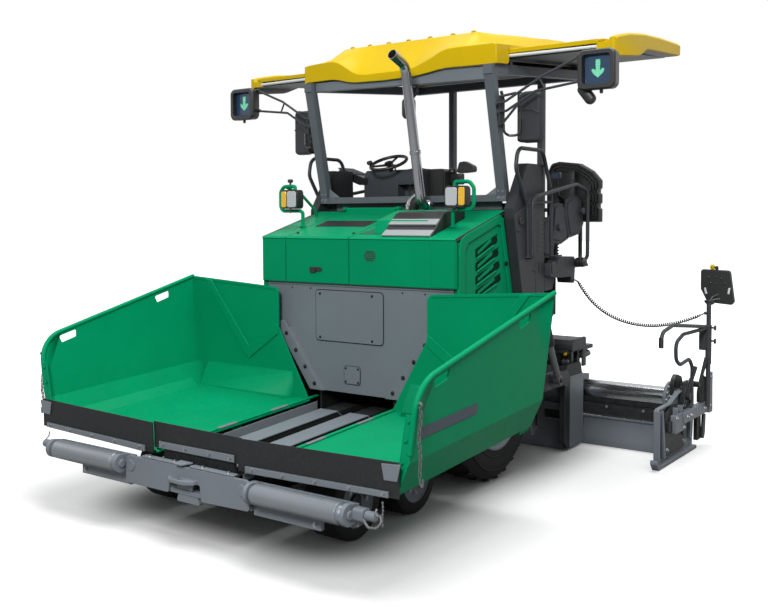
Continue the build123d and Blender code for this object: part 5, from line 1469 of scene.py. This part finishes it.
for side, name in both_hands:
    body = "seat_" + name
    pad("seat_cushion_" + name, oblong(668, 892, 2930, 3330, 50), 1815, 1880, "z", body, side, 14)
    pad("seat_back_" + name, oblong(668, 892, 1905, 2290, 50), 3335, 3362, "y", body, side, 10)
    shape = bmesh.new()
    block(shape, 650, 895, 2900, 3372, 1786, 1806)
    block(shape, 680, 860, 2960, 3160, 1573, 1590)
    bellows = []
    for k in range(9):
        bellows += [(24 * k, 84), (24 * k + 12, 98)]
    turned(shape, bellows, (775, 3060, 1590), (0, 0, 1), sides=32)
    outline = [(600, 1852), (596, 2250), (640, 2340), (712, 2356), (898, 2334), (1010, 2270), (1080, 2192),
        (1080, 2130), (1066, 2118), (1066, 2090), (1080, 2078), (1080, 2010), (1066, 1998), (1066, 1970),
        (1080, 1958), (1080, 1852)]
    rim = rounded(outline, [20, 60, 40, 40, 60, 40, 20, 6, 6, 6, 6, 6, 6, 6, 6, 10], 3)
    middle_x, middle_z = 830, 2060
    rings = []
    for scale, y in ((0.9, 3470), (1.0, 3452), (1.0, 3412), (0.97, 3400), (0.93, 3400), (0.92, 3416),
            (0.89, 3416), (0.88, 3396), (0.84, 3396), (0.83, 3412), (0.80, 3412), (0.79, 3392),
            (0.75, 3392), (0.74, 3408), (0.71, 3408), (0.70, 3388), (0.66, 3388), (0.65, 3404),
            (0.5, 3404)):
        rings.append([shape.verts.new(at(middle_x + (x - middle_x) * scale, y,
            middle_z + (z - middle_z) * scale)) for x, z in rim])
    shape.faces.new(rings[0])
    shape.faces.new(rings[-1])
    skin(shape, rings)
    block(shape, 700, 880, 3362, 3410, 1800, 2200)
    slab_y(shape, oblong(832, 910, 2192, 2250, 10), 3004, 3036)
    tube(shape, [(870, 3030, 2200), (870, 3060, 2060), (870, 3200, 2020), (870, 3380, 2010)], 14, 40,
        sides=12)
    block(shape, 840, 895, 3020, 3330, 1990, 2030)
    make("seat_shell_" + name, shape, body, black_plastic, bevel=3, side=side,
        replaces=(body,))
    shape = bmesh.new()
    slab_y(shape, oblong(840, 902, 2202, 2241, 4), 3001, 3005)
    make("seat_display_" + name, shape, body, panel_blue, bevel=0, side=side)
    shape = bmesh.new()
    boards = ((919, [(2678, 1580), (2678, 1846), (2720, 1874), (2859, 1897), (3010, 1846), (2832, 1576)],
        (2919, 1812)), (935, [(2790, 1700), (2826, 1900), (2846, 1988), (2917, 2006), (3030, 1998),
        (3108, 1812), (3130, 1728), (2976, 1680)], None), (951, [(3033, 1900), (3030, 2024), (3184, 2074),
        (3326, 2042), (3368, 1842), (3290, 1758), (3093, 1728)], (3278, 1942)),)
    for x, corners, knob in boards:
        edge = rounded(corners, 24)
        cy = sum(y for y, z in corners) / len(corners)
        cz = sum(z for y, z in corners) / len(corners)
        slab_x(shape, edge, x - 14, x)
        slab_x(shape, rounded([(cy + (y - cy) * 0.8, cz + (z - cz) * 0.84) for y, z in corners], 20), x,
            x + 9)
        if knob:
            turned(shape, [(0, 12), (14, 14), (22, 26), (36, 28), (42, 20), (42, 0)], (x + 6, *knob),
                (1, 0, 0), sides=24)
    for y in (2740, 3180):
        tube(shape, [(900, y, 1790), (915, y, 1790), (915, y + 60, 1900)], 12, 10, sides=12)
    make("guard_boards_" + name, shape, body, board_grey, bevel=4, side=side)


# Screed: the floating beam that lays the mat. Its body is a folded and welded steel box with a curved
# mouldboard in front, side plates, and a walkway on top.
def mouldboard(shape, x0, x1, y, finish=0, dark_and_shade_finish=1):
    """A folded front plate with a ledge, from its lower edge up; the upper fold and top strip take the dark
    finish, a dark cover whose darkness is partly painted shade under what overhangs it.
    """
    lower = [(y + 2, 4), (y + 2, 58), (y + 6, 70), (y + 30, 205), (y + 30, 222), (y + 12, 236),
        (y + 12, 250), (y + 22, 250), (y + 22, 240), (y + 40, 228), (y + 40, 200), (y + 18, 70),
        (y + 18, 4)]
    slab_x(shape, lower, x0, x1, finish)
    # Painted shade: the upper fold and top strip are dark partly for the shade under the overhang above
    # them.
    upper = [(y + 14, 252), (y + 24, 262), (y + 34, 330), (y + 60, 346), (y + 60, 358), (y + 72, 358),
        (y + 72, 340), (y + 44, 322), (y + 34, 256), (y + 22, 250)]
    slab_x(shape, upper, x0, x1, dark_and_shade_finish)
    block(shape, x0, x1, y + 60, y + 68, 350, 400, dark_and_shade_finish)


shape = bmesh.new()
mouldboard(shape, -895, 895, 3140)
for side in (1, -1):
    plate = rounded([(3085, 62), (3085, 640), (3120, 700), (3380, 700), (3425, 560), (3425, 20),
        (3130, 20)], [8, 20, 20, 20, 20, 4, 20])
    # Painted shade: the side plate takes the dark finish and its front flange the charcoal, for the shadow
    # they stand in beside the extension.
    slab_x(shape, plate, *outboard(side, 903, 929), 1)
    slab_x(shape, [(3079, 66), (3079, 640), (3089, 640), (3089, 66)], *outboard(side, 880, 929), 2)
    slab_x(shape, oblong(3180, 3340, 500, 640, 14), *outboard(side, 885, 903), 1)
    beam = [(560, 580), (770, 566), (840, 530), (884, 440), (904, 440), (904, 690), (560, 690)]
    slab_y(shape, rounded([(side * x, z) for x, z in beam], [4, 60, 40, 10, 2, 2, 2]), 3092, 3112, 2)
    block(shape, *outboard(side, 560, 884), 3196, 3204, 240, 600, 2)
make("screed_front", shape, "screed", [grey, dark, charcoal], bevel=3)

# Tow arms and walkway: flame-cut steel beams pull the screed from pins at the machine's middle, and
# bolted covers of folded sheet lie over the screed as its walkway. Two hydraulic cylinders lift it.
wear("screed_base", grey)
wear("lift_barrels", dark)
wear("lift_rods", dull_steel)
for side, name in both_hands:
    shape = bmesh.new()
    arm = [(1360, 360), (1360, 480), (1800, 560), (2600, 690), (2900, 690), (3076, 650), (3076, 560),
        (2900, 560), (2600, 560), (1800, 430), (1480, 360)]
    slab_x(shape, rounded(arm, [50, 50, 80, 80, 60, 20, 20, 60, 80, 80, 50]), 931, 969)
    slab_x(shape, oblong(3040, 3110, 540, 668, 10), 929, 945)
    turned(shape, [(0, 60), (8, 64), (30, 64), (34, 56), (34, 30), (0, 30)], (940, 1420, 420), (1, 0, 0),
        sides=32, closed=True)
    turned(shape, [(0, 17), (60, 17), (92, 17)], (968, 2760, 640), (1, 0, 0), sides=20)
    turned(shape, [(0, 32), (28, 32)], (968, 2760, 640), (1, 0, 0), sides=24)
    make("tow_arm_" + name, shape, "screed", charcoal, bevel=4, side=side,
        replaces=("screed_arms",) if side > 0 else ())
shape = bmesh.new()
plan = [(-905, 3500), (905, 3500), (860, 3740), (470, 4330), (-470, 4330), (-860, 3740)]
slab_z(shape, rounded(plan, [4, 4, 60, 40, 40, 60]), 706, 729)
slab_z(shape, [(-880, 3240), (880, 3240), (880, 3740), (-880, 3740)], 770, 804)
for side in (1, -1):
    block(shape, *outboard(side, 760, 800), 3240, 3412, 371, 770, 1)
    block(shape, *outboard(side, 760, 800), 3700, 3740, 706, 790, 1)
slab_x(shape, rounded([(3240, 806), (3240, 850), (3262, 884), (3490, 890), (3490, 806)],
    [6, 12, 12, 10, 4]), -905, 905)
for side in (1, -1):
    x0, x1 = outboard(side, 905, 925)
    slab_x(shape, rounded([(3232, 796), (3232, 850), (3258, 892), (3498, 898), (3498, 650), (3440, 650),
        (3440, 796)], [10, 14, 14, 24, 10, 10, 4]), x0, x1)
    slab_y(shape, oblong(*outboard(side, 620, 780), 640, 806, 12), 3290, 3330, 1)
    slab_y(shape, oblong(*outboard(side, 800, 900), 600, 800, 12), 3262, 3300, 1)
    slab_y(shape, oblong(*outboard(side, 640, 700), 700, 792, 8), 3270, 3290)
    slab_y(shape, oblong(*outboard(side, 820, 884), 628, 724, 10), 3250, 3262)
    block(shape, *outboard(side, 720, 900), 3380, 3430, 372, 800, 1)
make("walkway_covers", shape, "screed", [charcoal, black_plastic], bevel=4,
    replaces=("screed_walkway",))
spots = [(at(side * x, 3249.5, z), facing_front, 1.1) for side in (1, -1) for x in (834, 870)
    for z in (645, 708)]
spots += [(at(side * x, 3269.5, z), facing_front, 0.9) for side in (1, -1) for x in (654, 686)
    for z in (716, 776)]
spots += [(at(side * 190 * k, 3152, 244), facing_front, 0.7) for side in (1, -1) for k in (1, 2, 3, 4)]
repeat("walkway_bolts", bolt_head(), spots, "screed", bright_steel)
shape = bmesh.new()
turned(shape, [(0, 13), (12, 15), (20, 12)], (856, 3250, 770), (0, -1, 0), sides=16)
make("grease_cap", shape, "screed", yellow, bevel=1)

# Treads: steel bars across the walkway, welded a finger apart so boots grip. They get shorter to the
# rear, as the walkway does.
shape = bmesh.new()
bmesh.ops.create_cube(shape, size=1)
bmesh.ops.scale(shape, vec=(1.68, 0.008, 0.006), verts=shape.verts)
bmesh.ops.translate(shape, vec=(0, 0, 0.003), verts=shape.verts)
spots = [(at(0, 3780 + 46 * k, 729), (0, 0, 0), 1.0 - 0.042 * k) for k in range(12)]
repeat("walkway_treads", shape, spots, "screed", charcoal)

# Screed extensions: each slides out on a hard-chromed guide tube that ends in a bolted flange. The
# mouldboard, floor plate and end frame are folded and welded plate in grey enamel.

# Polished tube: hard chrome with fine streaks along its length.
tube_steel, tree, shader, place = material("polished_guide_tube")
along = add(tree, "ShaderNodeMapping", {"Vector": place, "Scale": (1.2, 60.0, 60.0)})
strokes = add(tree, "ShaderNodeTexNoise", {"Vector": along.outputs[0], "Scale": 2.0, "Detail": 3.0})
polish = add(tree, "ShaderNodeMapRange", {"Value": strokes.outputs["Fac"], 1: 0.3, 2: 0.7, 3: 0.16, 4: 0.3})
tree.links.new(polish.outputs[0], shader.inputs["Roughness"])
shader.inputs["Base Color"].default_value = linear("#AEB2B4")
shader.inputs["Metallic"].default_value = 1.0
tube_y, tube_z = 3572, 440
for side, name in both_hands:
    body = "screed_extension_" + name
    shape = bmesh.new()
    mouldboard(shape, 806, 1672, 3438)
    block(shape, 806, 1698, 3462, 3816, 0, 36, 1)
    slab_x(shape, rounded([(3440, 20), (3440, 340), (3500, 356), (3500, 300), (3640, 300), (3640, 560),
        (3818, 560), (3818, 20)], [2, 20, 10, 10, 10, 30, 30, 2]), 1672, 1699, 1)
    block(shape, 934, 1690, 3800, 3818, 20, 335, 1)
    block(shape, 1000, 1680, 3660, 3700, 36, 190, 1)
    for x in (1180, 1420):
        slab_x(shape, [(3480, 36), (3480, 250), (3700, 180), (3700, 36)], x, x + 12, 1)
    make(body + "_frame", shape, body, [grey, dark], bevel=3, replaces=(body,), side=side)
    shape = bmesh.new()
    turned(shape, [(0, 78), (2, 85), (896, 85), (900, 80)], (794, tube_y, tube_z), (1, 0, 0), sides=64)
    make("guide_tube_" + name, shape, body, tube_steel, bevel=0, side=side)
    shape = bmesh.new()
    turned(shape, [(0, 92), (0, 128), (4, 132), (23, 132), (27, 128), (27, 100), (34, 96), (34, 0.0)],
        (1598, tube_y, tube_z), (1, 0, 0), sides=64)
    slab_x(shape, rounded([(3500, 400), (3486, 590), (3560, 640), (3700, 600), (3716, 400)],
        [20, 60, 60, 60, 20]), 1640, 1672, 1)
    make("tube_flange_" + name, shape, body, [grey, black_plastic], bevel=2, side=side)
    spots = [(at(1625.5, tube_y + 110 * cos(pi * k / 6), tube_z + 110 * sin(pi * k / 6)), facing_left, 1.0)
        for k in range(12)]
    repeat("flange_bolts_" + name, bolt_head(), spots, body, bright_steel, side=side)
    spots = [(at(x, 3450, z), facing_front, 0.8) for x, z in ((1127, 331), (1440, 331))]
    spots += [(at(x, 3449, 244), facing_front, 0.7) for x in (1000, 1127, 1280, 1440, 1600)]
    repeat("mouldboard_bolts_" + name, bolt_head(), spots, body, bright_steel, side=side)

# End gates: a floating side plate on a turned-up skid, held down by a spring arm. A cross-bar, pivots
# and a tubular handrail are bolted to it, with the post of the screed operator's panel.
for side, name in both_hands:
    body = "screed_extension_" + name
    shape = bmesh.new()
    plate = [(2975, 24), (2975, 440), (3000, 452), (3240, 455), (3420, 508), (3560, 528), (3620, 496),
        (3700, 424), (3830, 400), (3830, 24)]
    slab_x(shape, rounded(plate, [2, 20, 20, 30, 30, 30, 30, 20, 20, 2]), 1701, 1713)
    slab_x(shape, rounded([(2902, 58), (2906, 88), (2922, 84), (2962, 28), (3826, 28), (3826, 0),
        (2950, 0)], [6, 6, 6, 30, 2, 2, 30]), 1701, 1752)
    slab_x(shape, oblong(2968, 2982, 36, 444, 4), 1701, 1750)
    slab_x(shape, rounded([(2968, 444), (3005, 458), (3240, 462), (3240, 452), (3005, 448), (2982, 436)],
        3), 1701, 1738)
    slab_x(shape, rounded([(3240, 462), (3420, 516), (3556, 534), (3556, 522), (3424, 504), (3240, 452)],
        3), 1701, 1738)
    slab_x(shape, rounded([(3036, 432), (3064, 432), (3122, 60), (3094, 60)], 6), 1713, 1746)
    slab_x(shape, oblong(3246, 3452, 226, 366, 8), 1733, 1778)
    slab_x(shape, oblong(3412, 4050, 280, 366, 8), 1738, 1792)
    slab_x(shape, rounded([(3975, 270), (3968, 600), (4058, 606), (4064, 270)], 10), 1776, 1806)
    slab_x(shape, rounded([(3700, 100), (3700, 560), (3740, 592), (3780, 560), (3790, 366), (3760, 100)],
        14), 1713, 1738)
    for y in (3290, 3400):
        slab_x(shape, oblong(y, y + 24, 366, 420, 4), 1733, 1770)
    make("gate_plate_" + name, shape, body, grey, bevel=3, side=side,
        replaces=("end_gate_" + name,))
    shape = bmesh.new()
    slab_x(shape, rounded([(3136, 62), (3136, 404), (3236, 432), (3600, 420), (3600, 90), (3560, 62)], 10),
        1713, 1732)
    slab_x(shape, oblong(3160, 3236, 250, 330, 8), 1732, 1752)
    for y, low in ((3470, 420), (3530, 440), (3590, 430)):
        slab_x(shape, rounded([(y, low), (y + 26, low), (y + 66, low + 130), (y + 30, low + 136)], 8), 1716,
            1760)
    slab_x(shape, rounded([(3806, 380), (3806, 470), (3900, 600), (3990, 560), (3990, 366)], 14), 1752,
        1776)
    slab_x(shape, oblong(3830, 3930, 60, 280, 12), 1722, 1752)
    slab_x(shape, rounded([(3900, 70), (3930, 260), (3990, 260), (3975, 110), (3950, 60)], 8), 1756, 1774)
    turned(shape, [(0, 30), (52, 30)], (1730, 3560, 470), (1, 0, 0), sides=24)
    turned(shape, [(0, 24), (60, 24)], (1738, 3745, 540), (1, 0, 0), sides=24)
    turned(shape, [(0, 40), (30, 40)], (1713, 3540, 200), (1, 0, 0), sides=24)
    for x0, y0, z0, x1, y1, z1 in ((1752, 3560, 470, 1780, 3690, 690), (1786, 3790, 560, 1812, 3862, 745)):
        tube(shape, [(x0, y0, z0), (x1, y1, z1)], [12, 17], sides=12)
    make("gate_workings_" + name, shape, body, dark, bevel=2, side=side)
    spots = [(at(1713 + lift, y, z), facing_left, 1.1) for lift, y, z in ((25, 3268, 248), (65, 3268, 344),
        (65, 3430, 248), (65, 3430, 344), (0, 2996, 120), (0, 2996, 400), (79, 3480, 322), (79, 3560, 322),
        (79, 3900, 322), (93, 4015, 322), (93, 4015, 560), (19, 3560, 110), (19, 3180, 110),
        (19, 3560, 390))]
    repeat("gate_bolts_" + name, bolt_head(), spots, body, bright_steel, side=side)
    shape = bmesh.new()
    tube(shape, [(1790, 2866, 1000), (1790, 2905, 1050), (1790, 3110, 1079), (1790, 3426, 1046),
        (1806, 3890, 996)], 15, 120, sides=16, steps=10)
    tube(shape, [(1806, 3890, 985), (1760, 3440, 976), (1760, 3270, 925), (1760, 3280, 790),
        (1760, 3374, 745), (1760, 3590, 765), (1760, 3669, 690), (1760, 3638, 366)], 15, 70, sides=16,
        steps=8)
    tube(shape, [(1815, 3900, 340), (1815, 3900, 1190)], 19, sides=20)
    tube(shape, [(1815, 3900, 690), (1815, 3900, 1010)], 25, sides=20)
    slab_y(shape, oblong(1744, 1802, 802, 984, 10), 3874, 3926)
    turned(shape, [(0, 24), (14, 40), (22, 44), (30, 44)], (1815, 3915, 1176), (0, 0.25, 1), sides=24)
    make("operator_rails_" + name, shape, body, charcoal, bevel=2, side=side)
    shape = bmesh.new()
    tube(shape, [(1790, 2866, 935), (1790, 2866, 1012)], 18, sides=16)
    turned(shape, [(0, 14), (16, 12), (20, 8)], (1798, 3890, 1108), (-1, -0.3, -0.3), sides=16)
    for z in (988, 880):
        tube(shape, [(1836, 3900, z), (1866, 3900, z)], 8, sides=10)
        slab_x(shape, oblong(3882, 3918, z - 21, z + 21, 9), 1862, 1874)
    make("rail_grips_" + name, shape, body, black_plastic, bevel=2, side=side)
    shape = bmesh.new()
    face = rounded([(1730, 1300), (1786, 1190), (1984, 1176), (2002, 1204), (1968, 1446), (1952, 1456),
        (1745, 1462), (1730, 1446)], [50, 26, 20, 14, 20, 12, 14, 18], 3)
    rings = [[shape.verts.new(at(x0, y, z0)) for x0, z0 in [(1865 + (x - 1865) * s, 1320 + (z - 1320) * s)
        for x, z in face]] for y, s in ((3986, 0.93), (3976, 1.0), (3950, 1.0), (3940, 0.965))]
    shape.faces.new(rings[0])
    shape.faces.new(rings[-1])
    skin(shape, rings)
    for x, z in ((1800, 1395), (1850, 1400), (1900, 1388), (1815, 1350), (1860, 1345), (1925, 1350)):
        turned(shape, [(0, 9), (8, 9), (12, 5)], (x, 3941, z), (0, -1, 0), sides=16)
    turned(shape, [(0, 13), (24, 15), (34, 9)], (1856, 3962, 1456), (0, 0, 1), sides=16)
    tube(shape, [(1815, 3918, 1200), (1830, 3935, 1235), (1880, 3946, 1262)], 11, 20, sides=10)
    tube(shape, [(1815, 3918, 1200), (1836, 3935, 1215), (1890, 3946, 1222)], 11, 20, sides=10)
    make("operator_panel_" + name, shape, body, black_plastic, bevel=0, side=side,
        smooth=30)
    shape = bmesh.new()
    for points in ([(1760, 1310), (1776, 1312), (1790, 1262), (1774, 1258)], [(1958, 1318), (1974, 1314),
            (1966, 1262), (1950, 1268)]):
        slab_y(shape, rounded(points, 6), 3936.5, 3940.5)
    make("panel_slots_" + name, shape, body, chrome_rod, bevel=0, side=side)
    shape = bmesh.new()
    turned(shape, [(0, 12), (10, 18), (30, 20), (44, 12)], (1822, 3962, 1458), (0, 0, 1), sides=20)
    make("panel_knob_" + name, shape, body, yellow, bevel=0, side=side)


# Wheels: four solid-rubber front wheels on grey cast rims with ringed hubs, and two large driven rear
# wheels whose air tyres have slanted tread bars. Wheel nuts are zinc plated.

# Tyre rubber: black and dull, greyer where it is scuffed.
tyre_rubber, tree, shader, place = material("tyre_rubber")
scuffs = add(tree, "ShaderNodeTexNoise", {"Vector": place, "Scale": 14.0, "Detail": 8.0, "Roughness": 0.7})
tone = add(tree, "ShaderNodeMix", {"Factor": scuffs.outputs["Fac"], "A": linear("#08090A"),
    "B": linear("#1C1C1C")}, data_type="RGBA")
tree.links.new(tone.outputs["Result"], shader.inputs["Base Color"])
shader.inputs["Roughness"].default_value = 0.75
shader.inputs["Specular IOR Level"].default_value = 0.25
bump = add(tree, "ShaderNodeBump", {"Height": scuffs.outputs["Fac"], "Strength": 0.3, "Distance": 0.002})
tree.links.new(bump.outputs[0], shader.inputs["Normal"])
small_radius = 230
rear_hub = (0, 2045, 540)
for place_name, y in (("front", 460), ("mid", 1070)):
    for side, hand in both_hands:
        body = f"{place_name}_wheel_{hand}"
        shape = bmesh.new()
        turned(shape, [(601, 151), (601, 200), (611, 222), (632, 230), (818, 230), (839, 222), (849, 200),
            (849, 151)], (0, y, small_radius), (1, 0, 0), 48, closed=True)
        turned(shape, [(606, 152), (845, 152), (846, 144), (838, 138), (834, 126), (832, 62), (826, 56),
            (800, 54), (800, 31), (772, 31), (772, 66), (776, 128), (640, 142), (606, 143)],
            (0, y, small_radius), (1, 0, 0), 48, finish=1, closed=True)
        turned(shape, [(799, 0), (799, 44), (806, 44), (812, 36), (812, 24), (818, 20), (818, 0)],
            (0, y, small_radius), (1, 0, 0), 32)
        slab_x(shape, [(y + 20 + u, small_radius + v) for u, v in rounded([(20, 62), (62, 62), (84, 20),
            (70, -6), (50, 12)], 10)], 831, 833.5)
        make(body + "_tyre", shape, body, [tyre_rubber, grey], bevel=2, side=side,
            replaces=(body,))
        spots = [(at(833, y + 92 * cos(pi * k / 4), small_radius + 92 * sin(pi * k / 4)), facing_left, 0.9)
            for k in range(8) if k != 1]
        repeat(body + "_nuts", bolt_head(), spots, body, bright_steel, side=side)
for side, hand in both_hands:
    body = "rear_wheel_" + hand
    shape = bmesh.new()
    turned(shape, [(588, 300), (581, 340), (578, 420), (592, 480), (622, 522), (680, 533), (800, 533),
        (858, 522), (888, 480), (902, 420), (899, 340), (892, 300)], rear_hub, (1, 0, 0), 72, closed=True)
    for x0, r0 in ((901.5, 360), (900, 455)):
        turned(shape, [(x0 - 2, r0 - 8), (x0 + 3, r0 - 4), (x0 + 3, r0 + 4), (x0 - 2, r0 + 8)], rear_hub,
            (1, 0, 0), 72, closed=True)
    turned(shape, [(590, 302), (890, 302), (894, 312), (902, 314), (902, 300), (886, 290), (860, 272),
        (818, 246), (806, 232), (806, 100), (806, 91), (782, 91), (782, 240), (640, 264), (604, 290)],
        rear_hub, (1, 0, 0), 72, finish=1, closed=True)
    make(body + "_tyre", shape, body, [tyre_rubber, grey], bevel=2, side=side,
        replaces=(body,))
    bar = bmesh.new()
    slab(bar, [(1000 * x, midway + 1000 * y, -6) for x, y in ((-0.06, -0.02), (0.06, -0.016), (0.06, 0.016),
        (-0.06, 0.02))], (0, 0, 12))
    spots = []
    for k in range(52):
        row = 1 if k % 2 else -1
        a = 2 * pi * k / 52
        turn = (Matrix.Rotation(-a, 3, "X") @ Matrix.Rotation(row * radians(24) + (pi if row < 0 else 0), 3,
            "Z")).to_euler()
        spots.append((at(740 + row * 62, rear_hub[1] + 531 * sin(a), rear_hub[2] + 531 * cos(a)), turn,
            1.0))
    repeat(body + "_tread", bar, spots, body, tyre_rubber, side=side)
    spots = [(at(807, rear_hub[1] + 170 * cos(pi * k / 6), rear_hub[2] + 170 * sin(pi * k / 6)),
        facing_left, 1.9) for k in range(12)]
    repeat(body + "_nuts", bolt_head(), spots, body, bright_steel, side=side)

# Augers: two screws that spread the asphalt ahead of the screed, hung on a black steel frame. Their
# flights are cast steel, bolted to the shafts.

# Worn steel: brown-grey with dust, paler at the rims, as wear and as a painted highlight.
worn_steel = enamel("worn_auger_steel", "#6F7274", rough=0.3, dust=0.25, edge=0.6, shine=0.6)
for hand in ("left", "right"):
    wear("auger_" + hand, worn_steel)
wear("auger_frame", dark)


# Control cord: a black polyurethane lead wound into a springy coil as thick as a finger, from the
# platform's left corner to the end gate's control panel. It hangs free between its two ends.
cord_route = [
    (1000.3, 3080, 1395), (1030, 3080, 1395), (1058, 3112, 1328), (1105, 3165, 1235), (1170, 3235, 1150),
    (1245, 3320, 1085), (1330, 3415, 1040), (1420, 3520, 1015), (1515, 3625, 1012), (1610, 3735, 1030),
    (1700, 3825, 1062), (1782, 3884, 1102),
]
coil_pitch = 0.019
coil_radius = 0.0095
wire_radius = 0.0055

route = bpy.data.curves.new("cord_route", "CURVE")
route.dimensions = "3D"
line = route.splines.new("NURBS")
line.points.add(len(cord_route) - 1)
for point, (x, y, z) in zip(line.points, cord_route):
    point.co = (x / 1000, (y - midway) / 1000, z / 1000, 1)
line.order_u = 3
line.use_endpoint_u = True
line.resolution_u = 24
route_object = bpy.data.objects.new("cord_route", route)
bpy.context.scene.collection.objects.link(route_object)
bpy.context.view_layer.update()
traced = bpy.data.meshes.new_from_object(route_object.evaluated_get(bpy.context.evaluated_depsgraph_get()))
centres = [v.co.copy() for v in traced.vertices]
bpy.data.objects.remove(route_object)

lengths = [0.0]
for a, b in zip(centres, centres[1:]):
    lengths.append(lengths[-1] + (b - a).length)


def on_cord(distance):
    """Point and direction on the cord's middle line."""
    i = max(k for k in range(len(lengths) - 1) if lengths[k] <= distance or k == 0)
    run = centres[i + 1] - centres[i]
    return centres[i] + run * ((distance - lengths[i]) / max(run.length, 1e-9)), run.normalized()


steps = int(lengths[-1] / coil_pitch * 12)
coil_points = []
for k in range(steps + 1):
    distance = lengths[-1] * k / steps
    centre, along = on_cord(min(distance, lengths[-1] - 1e-6))
    side = along.cross(Vector((0, 0, 1))).normalized()
    over = side.cross(along)
    swell = min(1.0, max(0.0, distance - 0.02) / 0.04, max(0.0, lengths[-1] - distance - 0.02) / 0.04)
    turn = 2 * pi * distance / coil_pitch
    coil_points.append(centre + (side * cos(turn) + over * sin(turn)) * coil_radius * swell)
cord_curve = bpy.data.curves.new("cord_coil", "CURVE")
cord_curve.dimensions = "3D"
coil = cord_curve.splines.new("POLY")
coil.points.add(len(coil_points) - 1)
for point, place in zip(coil.points, coil_points):
    point.co = (*place, 1)
cord_curve.bevel_depth = wire_radius
cord_curve.bevel_resolution = 2
cord_curve.use_fill_caps = True
coil_object = bpy.data.objects.new("cord_coil", cord_curve)
bpy.context.scene.collection.objects.link(coil_object)
bpy.context.view_layer.update()
coiled = coil_object.evaluated_get(bpy.context.evaluated_depsgraph_get())
control_cord = bpy.data.objects.new("control_cord", bpy.data.meshes.new_from_object(coiled))
bpy.context.scene.collection.objects.link(control_cord)
bpy.data.objects.remove(coil_object)
for face in control_cord.data.polygons:
    face.use_smooth = True

# Polyurethane jacket: a soft half-gloss black that stays dark in the coil's own shade.
cord_black, tree, shader, place = material("cord_polyurethane")
shader.inputs["Base Color"].default_value = linear("#17181A")
shader.inputs["Roughness"].default_value = 0.45
control_cord.data.materials.append(cord_black)
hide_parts("curly_cord")
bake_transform(control_cord)
